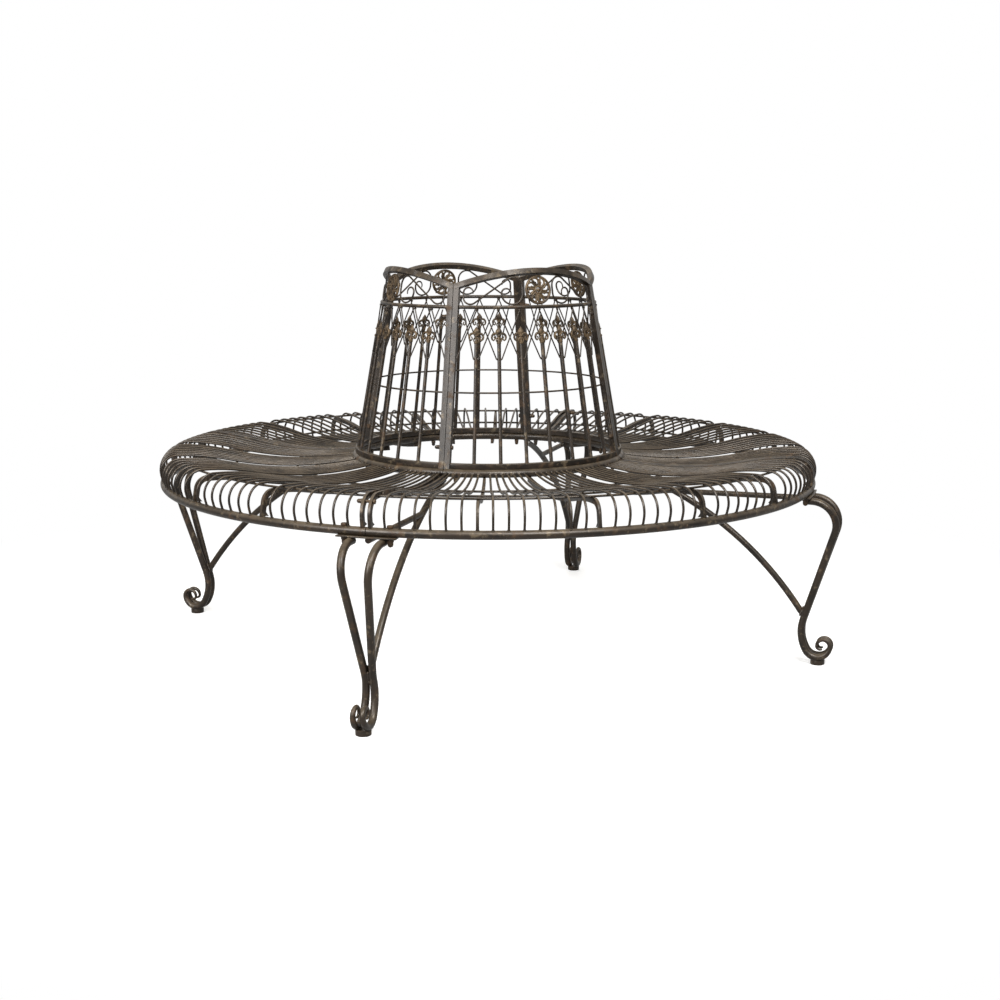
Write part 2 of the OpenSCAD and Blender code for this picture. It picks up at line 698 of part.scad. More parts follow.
module foot_pads() {
    color(bronze) at_joints() difference() {
        translate([foot_r, 0, 0]) union() {
            cylinder(d1 = pad_d - 2, d2 = pad_d, h = 1);
            translate([0, 0, 1]) cylinder(d = pad_d, h = pad_h - 2);
            translate([0, 0, pad_h - 1]) cylinder(d1 = pad_d, d2 = pad_d - 2, h = 1);
        }
        both_bars() in_toe() upright_arc(foot_c, foot_bend_r, -160, -20)
            circle(d = leg_d / cos(180 / scroll_corners) + 2 * seat_gap);
    }
}

// Fasteners

module at_plate_bolts() {
    for (side = [-1, 1]) rotate([0, 0, side * asin(plate_bolts / 2 / rim_r)])
        translate([rim_r, 0, 0]) children();
}

// Three studs on the underside of each bottom rail go through the inner rail
rail_stud_r = (rail_r + foot_rail_r) / 2;
module at_rail_studs() {
    for (a = [-40.3, 0, 40.3]) rotate([0, 0, a]) translate([rail_stud_r, 0, 0]) children();
}

// One bolt in the rolled edge of the two end ribs, and one in the crown
rib_bolt_a = 50;
module at_rib_bolts() {
    edge = curl_c + (curl_r - end_rib_drop) * [cos(rib_bolt_a), sin(rib_bolt_a)];
    crown_a = 90 + asin(rib_bolt_in / crown_arc_r);
    crown = crown_c + (crown_arc_r - end_rib_drop) * [cos(crown_a), sin(crown_a)];
    for (p = [edge, crown]) translate([p.x, 0, p.y]) rotate([90, 0, 0]) children();
}

module at_post_bolts() {
    for (h = [foot_rail_h + low_post_bolt_rise, band_h - high_post_bolt_drop])
        translate([back_r(h), 0, h]) rotate([0, -back_lean, 0]) rotate([90, 0, 0]) children();
}

// Bolt with its shank along +Z from the seat of its head at 0
module hex_bolt(d, l) {
    translate([0, 0, -0.65 * d]) cylinder(d = 1.75 * d, h = 0.65 * d, $fn = 6);
    cylinder(d = d, h = l);
}

// Domed nut, closed at the end, bored for its bolt
function nut_l(d) = (0.75 + 0.6 + 1.45 / 2) * d;
module cap_nut(d) {
    difference() {
        union() {
            cylinder(d = 1.75 * d, h = 0.75 * d, $fn = 6);
            translate([0, 0, 0.75 * d]) cylinder(d = 1.45 * d, h = 0.6 * d);
            translate([0, 0, 1.35 * d]) sphere(d = 1.45 * d);
        }
        translate([0, 0, -1]) cylinder(d = d + 0.2, h = 1.2 * d + 1);
    }
}

rim_stack = tube_d + plate_t;
rail_stack = tube_d + seat_gap;
rib_stack = end_rib_gap + rib_t;
post_stack = 2 * frame_t + joint_gap;

module rim_bolts() {
    color(bronze_rust) at_joints() at_plate_bolts()
        translate([0, 0, rim_h + tube_d / 2 + 0.1]) mirror([0, 0, 1])
            hex_bolt(rim_bolt_d, rim_stack + 0.9 * rim_bolt_d);
}

module rail_studs() {
    length = rail_stack + 0.9 * small_bolt_d;
    color(bronze_rust) for (q = QUARTERS) in_quarter(q) at_rail_studs()
        translate([0, 0, foot_rail_h - frame_t / 2 - 0.1 - length])
            cylinder(d = small_bolt_d, h = length);
}

module rib_bolts() {
    color(bronze_rust) at_joints() at_rib_bolts() translate([0, 0, -rib_stack / 2 - 0.1])
        hex_bolt(small_bolt_d, rib_stack + 0.9 * small_bolt_d);
}

module post_bolts() {
    color(bronze_rust) at_joints() at_post_bolts() translate([0, 0, -post_stack / 2 - 0.1])
        hex_bolt(small_bolt_d, post_stack + 0.9 * small_bolt_d);
}

module cap_nuts() {
    color(bronze_rust) {
        at_joints() at_plate_bolts() translate([0, 0, plate_h - 0.1]) mirror([0, 0, 1])
            cap_nut(rim_bolt_d);
        for (q = QUARTERS) in_quarter(q) at_rail_studs()
            translate([0, 0, rail_h - tube_d / 2 - 0.1]) mirror([0, 0, 1]) cap_nut(small_bolt_d);
        at_joints() at_rib_bolts() translate([0, 0, rib_stack / 2 + 0.1]) cap_nut(small_bolt_d);
        at_joints() at_post_bolts() translate([0, 0, post_stack / 2 + 0.1]) cap_nut(small_bolt_d);
    }
}

for (q = QUARTERS) {
    seat_rim(q);
    seat_inner_rail(q);
    seat_end_ribs(q);
    seat_ribs(q);
    seat_wires(q);
    seat_hoops(q);
    back_frame(q);
    back_rails(q);
    back_pickets(q);
    back_lattice(q);
    back_scrolls(q);
    leg_bars(q);
}
leg_braces();
leg_struts();
rim_plates();
foot_pads();
finials();
medallions();
rim_bolts();
rail_studs();
rib_bolts();
post_bolts();
cap_nuts();
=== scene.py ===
import itertools
import math
import random

import bmesh
import bpy
from bpy.props import FloatProperty, FloatVectorProperty, IntProperty, PointerProperty
from mathutils import Matrix, Vector


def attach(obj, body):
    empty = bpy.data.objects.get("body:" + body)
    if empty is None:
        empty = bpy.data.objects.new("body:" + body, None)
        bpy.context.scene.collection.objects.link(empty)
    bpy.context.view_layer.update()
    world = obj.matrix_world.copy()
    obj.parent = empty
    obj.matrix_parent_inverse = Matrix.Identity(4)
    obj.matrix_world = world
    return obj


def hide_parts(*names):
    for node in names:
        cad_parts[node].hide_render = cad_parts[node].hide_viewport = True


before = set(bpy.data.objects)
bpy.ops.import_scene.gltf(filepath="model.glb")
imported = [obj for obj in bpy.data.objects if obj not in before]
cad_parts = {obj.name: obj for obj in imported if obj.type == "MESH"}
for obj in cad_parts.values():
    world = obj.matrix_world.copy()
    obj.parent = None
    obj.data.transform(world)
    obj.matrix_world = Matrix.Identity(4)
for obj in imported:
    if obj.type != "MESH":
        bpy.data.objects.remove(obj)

bl_info = {
    "name": "Wrought tree bench",
    "version": (1, 0, 0),
    "blender": (4, 5, 0),
    "location": "View3D > Sidebar > Tree bench",
    "description": "Dresses the packed tree bench with bent bars, castings, welds, paint and a stage",
    "category": "Object",
}

# Metres, +Z up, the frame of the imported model. The legs stand on the X and Y axes.
BODY = "root"
QUARTERS = (1, 2, 3, 4)
X_AXIS = Vector((1.0, 0.0, 0.0))
Y_AXIS = Vector((0.0, 1.0, 0.0))
Z_AXIS = Vector((0.0, 0.0, 1.0))


def linear(hex_colour):
    """Turns an sRGB hex value to the linear colour that Blender's nodes hold."""
    parts = [int(hex_colour[i:i + 2], 16) / 255 for i in (1, 3, 5)]
    return [p / 12.92 if p <= 0.04045 else ((p + 0.055) / 1.055) ** 2.4 for p in parts] + [1.0]


# Sizes and colours that a user may change


def length(label, value, text):
    """A size in metres."""
    return FloatProperty(name=label, description=text, default=value, unit="LENGTH", precision=4)


def angle(label, degrees, text):
    """An angle, shown in degrees."""
    return FloatProperty(name=label, description=text, default=math.radians(degrees), subtype="ANGLE")


def colour(label, hex_colour, text):
    """A colour with its alpha."""
    return FloatVectorProperty(name=label, description=text, default=linear(hex_colour), size=4,
                               subtype="COLOR", min=0.0, max=1.0)


class BenchLegSizes(bpy.types.PropertyGroup):
    """Sizes of the bent bars that make a leg."""
    bar_d: length("Bar", 0.016, "Diameter of a leg bar")
    tip_d: length("Scroll tip", 0.005, "Diameter of the drawn-down tip of a foot scroll")
    brace_d: length("Brace", 0.0145, "Diameter of the brace behind a leg")
    foot_r: length("Foot radius", 0.787, "Distance of a foot from the middle of the tree opening")
    foot_bend: length("Foot bend", 0.029, "Radius of the bend that stands on the pad")
    calf_bend: length("Calf bend", 0.090, "Radius of the bend above the foot")
    spread_bend: length("Spread bend", 0.120, "Radius of the sideways bend at the weld")
    shoulder_bend: length("Shoulder bend", 0.055, "Radius of the bend under the rim")
    foot_turn: angle("Foot turn", 60.0, "Angle of the foot bend on its inner side")
    slope: angle("Slope", 72.5, "Slope of the straight part of a bar")
    spread: angle("Spread", 5.1, "Angle by which a bar leaves the leg's middle above the weld")
    toe: angle("Toe", 2.0, "Angle by which a bar leaves the leg's middle below the weld")


class BenchBackSizes(bpy.types.PropertyGroup):
    """Sizes of the back's scrolls and castings."""
    wire_d: length("Scroll wire", 0.004, "Diameter of a scroll wire in its middle")
    wire_tip_d: length("Scroll wire tip", 0.0026, "Diameter of a scroll wire at its drawn-down ends")
    cap_bend: length("Scroll cap", 0.020, "Radius of a scroll where it nears the arch")
    volute_bend: length("Scroll volute", 0.0235, "Radius of a scroll's large volute")
    hook_bend: length("Scroll hook", 0.0105, "Radius of the hooks at both ends of a scroll")
    tail_bend: length("Scroll tail", 0.0155, "Radius of a scroll's bend next to the post")
    finial_w: length("Finial width", 0.036, "Width of a finial over its side leaves")
    finial_h: length("Finial height", 0.038, "Height of a finial")
    medallion_d: length("Medallion", 0.0644, "Diameter of a medallion")
    petals: IntProperty(name="Petals", description="Number of petals in a medallion", default=8, min=3)


class BenchDetailSizes(bpy.types.PropertyGroup):
    """Sizes of the rounded edges and of the weld beads."""
    edge_r: length("Edge", 0.0009, "Width of the rounded edge of a square tube or flat bar")
    fastener_edge: length("Fastener edge", 0.0004, "Width of the rounded edge of a bolt or nut")
    wire_bead: length("Wire bead", 0.0040, "Radius of the weld bead round the end of a seat wire")
    picket_bead: length("Picket bead", 0.0056, "Radius of the weld bead round the foot of a picket")
    lattice_bead: length("Lattice bead", 0.0026, "Radius of the weld bead at the end of a lattice wire")
    leg_bead: length("Leg bead", 0.0044, "Radius of one ripple of the weld between two leg bars")
    seed: IntProperty(name="Seed", description="Start of the unevenness of the weld beads", default=7)


class BenchColours(bpy.types.PropertyGroup):
    """Colours of the finishes."""
    coat_dark: colour("Coat, dark", "#1c1610", "Antique bronze coat in its recesses")
    coat: colour("Coat", "#352b21", "Antique bronze coat")
    # the paler upper side: partly the coat rubbed thin, partly a painted highlight of light falling on top
    coat_worn_and_highlit: colour("Coat, worn", "#7a6c59", "Coat rubbed thin on its upper side")
    rust: colour("Rust", "#57412b", "Rust that shows through the coat")
    bloom: colour("Bloom", "#87775f", "Pale bloom of the weather on the tubes")
    cast_dark: colour("Casting, dark", "#241d15", "Cast iron in its recesses")
    cast_gold: colour("Casting, rubbed", "#6c5a42", "Gilt bronze rubbed on the castings")


# Node helpers


def add_node(tree, kind, settings=None, inputs=None):
    """Adds a node; an input may be a value or another node's output socket."""
    node = tree.nodes.new(kind)
    for key, value in (settings or {}).items():
        setattr(node, key, value)
    for key, value in (inputs or {}).items():
        if isinstance(value, bpy.types.NodeSocket):
            tree.links.new(value, node.inputs[key])
        else:
            node.inputs[key].default_value = value
    return node


def new_material(name):
    """An empty node material and its tree."""
    material = bpy.data.materials.new(name)
    material.use_nodes = True
    material.node_tree.nodes.clear()
    return material, material.node_tree


def ramp(tree, factor, stops):
    """A colour ramp with two stops, each a position and a grey value."""
    node = add_node(tree, "ShaderNodeValToRGB", inputs={"Fac": factor})
    for mark, (place, grey) in zip(node.color_ramp.elements, stops):
        mark.position = place
        mark.color = (grey, grey, grey, 1.0)
    return node.outputs["Color"]


def mottle(tree, size, detail=3.0, offset=0.0):
    """Noise in object coordinates whose blotches are about the given size in metres."""
    place = add_node(tree, "ShaderNodeTexCoord").outputs["Object"]
    moved = add_node(tree, "ShaderNodeMapping", inputs={
        "Vector": place, "Location": (offset, offset, offset)})
    grain = add_node(tree, "ShaderNodeTexNoise", inputs={
        "Vector": moved.outputs["Vector"], "Scale": 0.5 / size, "Detail": detail, "Roughness": 0.6})
    return grain.outputs["Fac"]


def blend_colours(tree, factor, first, second):
    """Mixes two colours; each may be a value or a socket."""
    return add_node(tree, "ShaderNodeMix", {"data_type": "RGBA"}, {0: factor, 6: first, 7: second}).outputs[2]


def upward(tree):
    """1 where the surface faces up, 0 where it faces sideways or down."""
    normal = add_node(tree, "ShaderNodeNewGeometry").outputs["Normal"]
    height = add_node(tree, "ShaderNodeSeparateXYZ", inputs={"Vector": normal}).outputs["Z"]
    return add_node(tree, "ShaderNodeMapRange", {"clamp": True}, {
        "Value": height, "From Min": 0.1, "From Max": 1.0}).outputs["Result"]


def calculate(tree, operation, *values):
    """Result of one step of arithmetic on values or sockets."""
    return add_node(tree, "ShaderNodeMath", {"operation": operation}, dict(enumerate(values))).outputs[0]


def times(tree, first, second):
    """Product of two values."""
    return calculate(tree, "MULTIPLY", first, second)


# Finishes

# The material of each of the record's slots
FINISHES = {
    "tube": "Steel_powder_coated_bronze",
    "wire": "Steel_wire_coated_bronze",
    "fastener": "Steel_bolts_coated_bronze",
    "casting": "Iron_cast_rubbed_gilt",
}
# How the coats differ: where noise starts and ends to show as rust, where it starts to show as bloom, and
# the gloss. The wires are drawn smooth and stay glossier.
COATS = {
    "tube": {"rust": (0.54, 0.70), "bloom": 0.57, "roughness": 0.34, "metallic": 0.2},
    "wire": {"rust": (0.60, 0.76), "bloom": 0.66, "roughness": 0.25, "metallic": 0.2},
    "fastener": {"rust": (0.42, 0.60), "bloom": 0.60, "roughness": 0.36, "metallic": 0.3},
}
# Strength of the rust and of the bloom, and how rough and how grainy the rust is
RUST_STRENGTH = 0.7
BLOOM_STRENGTH = 0.45
RUST_ROUGHNESS = 0.65
RUST_GRAIN = 1.5


def coated_steel(name, colours, rust, bloom, roughness, metallic):
    """Steel under an antique bronze powder coat, sprayed and hand rubbed.

    The eye gets a glossy dark brown with cloudy darker patches, a slightly paler upper side that is partly
    rub marks and partly a painted highlight, a fine orange-peel texture, dull rust that bleeds through in
    rough specks, and a pale bloom.
    """
    material, tree = new_material(name)
    clouds = ramp(tree, mottle(tree, size=0.035), [(0.35, 0.0), (0.68, 1.0)])
    base = blend_colours(tree, clouds, colours.coat_dark, colours.coat)
    # paler where the surface faces up, by rub-mark noise: partly real wear, partly a painted highlight of
    # light falling on top
    rubbed = ramp(tree, mottle(tree, size=0.020, detail=4.0, offset=3.1), [(0.32, 0.1), (0.62, 0.7)])
    base = blend_colours(tree, times(tree, upward(tree), rubbed), base, colours.coat_worn_and_highlit)
    low, high = rust
    rusty = ramp(tree, mottle(tree, size=0.012, detail=6.0, offset=7.7), [(low, 0.0), (high, 1.0)])
    base = blend_colours(tree, times(tree, rusty, RUST_STRENGTH), base, colours.rust)
    pale = ramp(tree, mottle(tree, size=0.008, detail=5.0, offset=11.3), [(bloom, 0.0), (bloom + 0.1, 1.0)])
    base = blend_colours(tree, times(tree, pale, BLOOM_STRENGTH), base, colours.bloom)
    rough = add_node(tree, "ShaderNodeMapRange", inputs={
        "Value": rusty, "To Min": roughness, "To Max": RUST_ROUGHNESS}).outputs["Result"]
    # orange peel of a powder coat, about 1.5 mm from crest to crest, over the grain of the rust
    peel = mottle(tree, size=0.0015, detail=2.0)
    relief = calculate(tree, "MULTIPLY_ADD", rusty, RUST_GRAIN, peel)
    bump = add_node(tree, "ShaderNodeBump", inputs={
        "Strength": 0.25, "Distance": 0.0003, "Height": relief}).outputs["Normal"]
    shader = add_node(tree, "ShaderNodeBsdfPrincipled", inputs={
        "Base Color": base, "Metallic": metallic, "Roughness": rough, "Normal": bump})
    add_node(tree, "ShaderNodeOutputMaterial", inputs={"Surface": shader.outputs["BSDF"]})
    return material


def rubbed_casting(name, dark, gold, rust):
    """Cast iron, painted dark and rubbed with gilt bronze on what stands proud.

    The eye gets golden-brown crests over near-black hollows, with a sandy skin from the mould.
    """
    material, tree = new_material(name)
    clouds = ramp(tree, mottle(tree, size=0.007, detail=4.0), [(0.34, 0.0), (0.62, 1.0)])
    base = blend_colours(tree, clouds, dark, gold)
    specks = ramp(tree, mottle(tree, size=0.004, detail=5.0, offset=5.3), [(0.52, 0.0), (0.66, 1.0)])
    base = blend_colours(tree, times(tree, specks, RUST_STRENGTH), base, rust)
    sand = mottle(tree, size=0.0012, detail=2.0)
    bump = add_node(tree, "ShaderNodeBump", inputs={
        "Strength": 0.5, "Distance": 0.0005, "Height": sand}).outputs["Normal"]
    shader = add_node(tree, "ShaderNodeBsdfPrincipled", inputs={
        "Base Color": base, "Metallic": 0.35, "Roughness": 0.5, "Normal": bump})
    add_node(tree, "ShaderNodeOutputMaterial", inputs={"Surface": shader.outputs["BSDF"]})
    return material


class BENCH_OT_finishes(bpy.types.Operator):
    """Makes the material of each slot"""
    bl_idname = "bench.finishes"
    bl_label = "Make the finishes"

    def execute(self, context):
        colours = context.scene.bench_colours
        for slot, coat in COATS.items():
            coated_steel(FINISHES[slot], colours, **coat)
        rubbed_casting(FINISHES["casting"], colours.cast_dark, colours.cast_gold, colours.rust)
        return {"FINISHED"}


# Bars, paths and finished pieces

# An edge that turns more than the first angle counts as sharp, one under the second as flat
SHARP_EDGE = math.radians(38.0)
FLAT_EDGE = math.radians(0.6)
# Points closer than this are one point
MERGE = 1e-5


def new_object(name, data):
    """Adds an object that holds the data to the scene."""
    made = bpy.data.objects.new(name, data)
    bpy.context.scene.collection.objects.link(made)
    return made


def finish_piece(bm, name, slot, replaced=()):
    """Turns a bmesh into a piece that rides the bench, with smooth faces and sharp corners."""
    bmesh.ops.recalc_face_normals(bm, faces=bm.faces)
    for face in bm.faces:
        face.smooth = True
    for edge in bm.edges:
        if edge.is_manifold and edge.calc_face_angle() > SHARP_EDGE:
            edge.smooth = False
    mesh = bpy.data.meshes.new(name)
    bm.to_mesh(mesh)
    bm.free()
    mesh.materials.append(bpy.data.materials[FINISHES[slot]])
    piece = new_object(name, mesh)
    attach(piece, BODY)
    if replaced:
        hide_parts(*replaced)


def turn_z(degrees):
    """A turn about the upright axis."""
    return Matrix.Rotation(math.radians(degrees), 4, "Z")


def quarter_turn(quarter):
    """Carries a quarter whose middle lies on +X to its place."""
    return turn_z(90 * (quarter - 1) - 45)


def joint_turn(quarter):
    """Carries the joint at the start of a quarter from +X to its place."""
    return turn_z(90 * (quarter - 1) - 90)


def flat_arc(centre, radius, start, end, count):
    """Points of an arc in a plane, with its angles in degrees."""
    angles = [math.radians(start + (end - start) * i / count) for i in range(count + 1)]
    return [Vector((centre[0] + radius * math.cos(a), centre[1] + radius * math.sin(a))) for a in angles]


def without_repeats(points):
    """The points without those that lie on the one before."""
    kept = [points[0]]
    for point in points[1:]:
        if (point - kept[-1]).length > MERGE:
            kept.append(point)
    return kept


def stations(path, radii, across, flat):
    """Matrices that carry a unit circle to each point of a path; across stays level in the section."""
    last = len(path) - 1
    side = across
    placed = []
    for i, (point, radius) in enumerate(zip(path, radii)):
        along = (path[min(i + 1, last)] - path[max(i - 1, 0)]).normalized()
        side = (side - along * side.dot(along)).normalized()
        turn = Matrix((side, along.cross(side), along)).transposed().to_4x4()
        scale = Matrix.Diagonal((radius * flat, radius, radius, 1.0))
        placed.append(Matrix.Translation(point) @ turn @ scale)
    return placed


def sweep(bm, path, radii, across, flat=1.0, sides=12):
    """A closed bar of round or oval section along a path, with its own radius at each point."""
    placed = stations(path, radii, across, flat)
    made = bmesh.ops.create_circle(bm, segments=sides, radius=1.0, matrix=placed[0])
    ring = made["verts"]
    edges = list({edge for vert in ring for edge in vert.link_edges})
    bmesh.ops.contextual_create(bm, geom=edges)
    for before, after in zip(placed, placed[1:]):
        grown = bmesh.ops.extrude_edge_only(bm, edges=edges)["geom"]
        ring = [part for part in grown if isinstance(part, bmesh.types.BMVert)]
        fresh = set(ring)
        edges = [part for part in grown
                 if isinstance(part, bmesh.types.BMEdge) and set(part.verts) <= fresh]
        bmesh.ops.transform(bm, matrix=after @ before.inverted(), verts=ring)
    bmesh.ops.contextual_create(bm, geom=edges)


# Steps of a domed end, as distance beyond the bar and radius, in shares of the bar's radius
DOME_STEPS = ((0.45, 0.88), (0.75, 0.62), (0.92, 0.30))


def rounded_ends(path, radii, start=True, end=True):
    """Adds short steps at the ends of a bar, over which it closes like a dome."""
    path, radii = list(path), list(radii)
    for wanted, at, inner in ((start, 0, 1), (end, -1, -2)):
        if not wanted:
            continue
        out = (path[at] - path[inner]).normalized()
        tip, radius = path[at], radii[at]
        steps = [(tip + out * radius * ahead, radius * share) for ahead, share in DOME_STEPS]
        if at == 0:
            path = [p for p, _ in reversed(steps)] + path
            radii = [r for _, r in reversed(steps)] + radii
        else:
            path += [p for p, _ in steps]
            radii += [r for _, r in steps]
    return path, radii


# Legs

# Where the CAD model holds the leg bars
RIM_R = 0.755
RIM_H = 0.400
PAD_H = 0.012
PAD_SADDLE = 0.002
SHOULDER_H = 0.3798
# Distance inwards from the rim tube to a bar's end, and the chamfer of that end
LEG_END_IN = 0.006
LEG_END_EDGE = 0.0008
# Distance inwards from the foot's middle to the centre of its bend
FOOT_BEND_IN = 0.001
# Half of the gap between the two bars of a leg
BAR_GAP = 0.0001
# Outer side of the foot bend, and the two tighter bends after it, as radius and degrees
FOOT_RISE = 80.0
SCROLL_BENDS = ((0.015, 190.0), (0.008, 110.0))
SCROLL_STEP = 7.5
# Points on the bends of a leg bar and on its straight part
FOOT_STEPS = 12
CALF_STEPS = 10
SPREAD_STEPS = 6
STRAIGHT_STEPS = 6
SHOULDER_STEPS = 14


def lean(point, pivot, degrees, shift):
    """A point of the upright plane, given as radius and height, leaned about a level line along X."""
    rise = point[1] - pivot[1]
    tilt = math.radians(degrees)
    return Vector((point[0], shift - rise * math.sin(tilt), pivot[1] + rise * math.cos(tilt)))


def foot_scroll(sizes, start):
    """Points of the foot scroll from the foot inwards to its tip."""
    place = Vector(start)
    heading = 0.0
    points = [place.copy()]
    for radius, turn in ((sizes.foot_bend, FOOT_RISE), *SCROLL_BENDS):
        count = round(turn / SCROLL_STEP)
        step = math.radians(turn / count)
        for _ in range(count):
            heading += step / 2
            place = place + 2 * radius * math.sin(step / 2) * Vector((math.cos(heading), math.sin(heading)))
            heading += step / 2
            points.append(place.copy())
    return points


def lower_leg(sizes):
    """Foot scroll, foot bend and calf bend as points of an upright plane; the last is the calf's top."""
    foot_h = PAD_H - PAD_SADDLE + sizes.bar_d / 2
    foot_c = Vector((sizes.foot_r - FOOT_BEND_IN, foot_h + sizes.foot_bend))
    apart = sizes.calf_bend - sizes.foot_bend
    calf_c = foot_c + apart * Vector((math.sin(sizes.foot_turn), math.cos(sizes.foot_turn)))
    scroll = foot_scroll(sizes, (foot_c.x, foot_h))
    turned = math.degrees(sizes.foot_turn)
    slope = math.degrees(sizes.slope)
    points = without_repeats(
        list(reversed(scroll))
        + flat_arc(foot_c, sizes.foot_bend, -90, -90 - turned, FOOT_STEPS)
        + flat_arc(calf_c, sizes.calf_bend, 270 - turned, 90 + slope, CALF_STEPS))
    return scroll, points


def drawn_down(sizes, scroll):
    """Radii of the foot scroll from its thin tip to the full bar."""
    tip_r, bar_r = sizes.tip_d / 2, sizes.bar_d / 2
    steps = [(b - a).length for a, b in zip(scroll, scroll[1:])]
    runs = itertools.accumulate(reversed(steps), initial=0.0)
    return [tip_r + (bar_r - tip_r) * run / sum(steps) for run in runs]


def upper_leg(sizes, start):
    """Straight part, shoulder and level end, from the end of the spread bend at start."""
    # the plane through the upper part leans sideways, and the bar's slope in it is a little steeper
    tilt = math.atan(math.tan(sizes.spread) / math.sin(sizes.slope))
    up_along = math.hypot(math.cos(sizes.spread) * math.sin(sizes.slope), math.sin(sizes.spread))
    slope = math.atan2(up_along, math.cos(sizes.spread) * math.cos(sizes.slope))
    bend = sizes.shoulder_bend
    level = (SHOULDER_H - start.z) / math.cos(tilt)
    straight = (level - bend * (1 + math.cos(slope))) / math.sin(slope)
    top = straight * Vector((math.cos(slope), math.sin(slope)))
    shoulder_c = top + bend * Vector((-math.sin(slope), math.cos(slope)))
    end = RIM_R - LEG_END_IN - start.x
    flat = [top * (i / STRAIGHT_STEPS) for i in range(1, STRAIGHT_STEPS + 1)]
    flat += flat_arc(shoulder_c, bend, math.degrees(slope) - 90, 90, SHOULDER_STEPS)
    flat += [Vector((end + LEG_END_EDGE, level)), Vector((end, level))]
    return [start + Vector((p.x, p.y * math.sin(tilt), p.y * math.cos(tilt))) for p in without_repeats(flat)]


def leg_path(sizes):
    """Points and radii of a leg bar from the tip of its foot scroll to its end under the seat."""
    bend = sizes.spread_bend
    scroll, below = lower_leg(sizes)
    calf_top = below[-1]
    weld_lean = math.degrees(math.atan(math.tan(sizes.toe) / math.sin(sizes.slope)))
    path = [lean(p, calf_top, weld_lean, bend * (1 - math.cos(sizes.toe))) for p in below]
    # the sideways bend, whose middle is where the two bars of a leg are welded together
    along = Vector((math.cos(sizes.slope), 0.0, math.sin(sizes.slope)))
    weld = Vector((calf_top.x, 0.0, calf_top.y)) + bend * math.sin(sizes.toe) * along
    for i in range(1, SPREAD_STEPS + 1):
        turn = -sizes.toe + (sizes.toe + sizes.spread) * i / SPREAD_STEPS
        path.append(weld + bend * (math.sin(turn) * along + (1 - math.cos(turn)) * Y_AXIS))
    path += upper_leg(sizes, path[-1])
    radii = drawn_down(sizes, scroll)
    radii += [sizes.bar_d / 2] * (len(path) - len(radii))
    radii[-1] -= LEG_END_EDGE
    return path, radii


class BENCH_OT_leg_bars(bpy.types.Operator):
    """Bends the eight leg bars, drawn down to a scroll at the foot"""
    bl_idname = "bench.leg_bars"
    bl_label = "Leg bars"

    def execute(self, context):
        sizes = context.scene.bench_legs
        path, radii = rounded_ends(*leg_path(sizes), end=False)
        off = sizes.bar_d / 2 + BAR_GAP
        for quarter in QUARTERS:
            bm = bmesh.new()
            for side in (1, -1):
                points = [Vector((p.x, side * (p.y + off), p.z)) for p in path]
                sweep(bm, points, radii, Y_AXIS, sides=20)
            bmesh.ops.transform(bm, matrix=joint_turn(quarter), verts=bm.verts)
            finish_piece(bm, f"Leg_bars_{quarter}", "tube", (f"leg_bars_{quarter}",))
        return {"FINISHED"}


# The bow of a brace: its centre and radius, and where it starts and ends, in degrees
BRACE_C = (0.0986, -0.3153)
BRACE_BOW = 0.780
BRACE_START = 33.1
BRACE_END = 73.77
BRACE_STEPS = 40
# How far a brace is drawn down at its foot
BRACE_FOOT_SHARE = 0.8


class BENCH_OT_leg_braces(bpy.types.Operator):
    """Bends the brace of each leg, its foot let into the valley between the two bars"""
    bl_idname = "bench.leg_braces"
    bl_label = "Leg braces"

    def execute(self, context):
        sizes = context.scene.bench_legs
        bow = flat_arc(BRACE_C, BRACE_BOW, BRACE_START, BRACE_END, BRACE_STEPS)
        path = [Vector((p.x, 0.0, p.y)) for p in bow]
        radii = [sizes.brace_d / 2] * len(path)
        radii[0] *= BRACE_FOOT_SHARE
        bm = bmesh.new()
        for quarter in QUARTERS:
            turn = joint_turn(quarter)
            sweep(bm, [turn @ p for p in path], radii, turn @ Y_AXIS, sides=18)
        finish_piece(bm, "Leg_braces", "tube", ("leg_braces",))
        return {"FINISHED"}


# Back

# Where the CAD model holds the parts of the back
FOOT_RAIL_R = 0.308
FOOT_RAIL_H = 0.4635
BACK_SLOPE = 0.17548
BACK_LEAN = math.atan(BACK_SLOPE)
ARCH_BEND = 0.2329
ARCH_TOP_H = 0.883
ARCH_TILT = math.radians(27.87)
FRAME_T = 0.012
BAND_TOP = 0.810
PICKET_TOP = 0.7271
PICKET_R = 0.004
PICKET_PITCH = 10.905
PICKETS = 7
PANEL_R = 0.24114
POST_FACE = 0.01295
MEDALLION_H = 0.8424
# Gaps between a scroll and what lies next to it
BAND_GAP = 0.0002
MEDALLION_GAP = 0.0033
ARCH_GAP = 0.001
HOOK_GAP = 0.0025
POST_GAP = 0.007
# Points over which each end of a scroll wire is drawn down, and steps of its bends
DRAWN_POINTS = 9
HOOK_STEPS = 14
VOLUTE_STEPS = 24
CAP_STEPS = 16


def back_r(height):
    """Radius of the back at a height."""
    return FOOT_RAIL_R - BACK_SLOPE * (height - FOOT_RAIL_H)


def on_back(degrees, height, out=0.0):
    """A point of the back, moved out by a distance."""
    turn = math.radians(degrees)
    radius = back_r(height) + out
    return Vector((radius * math.cos(turn), radius * math.sin(turn), height))


def arch_under(across):
    """Height of the arch's underside at a distance along the panel from its middle."""
    turn = math.asin(PANEL_R * math.sin(across / PANEL_R) / ARCH_BEND)
    return ARCH_TOP_H - ARCH_BEND * (1 - math.cos(turn)) * math.sin(ARCH_TILT) - FRAME_T / 2


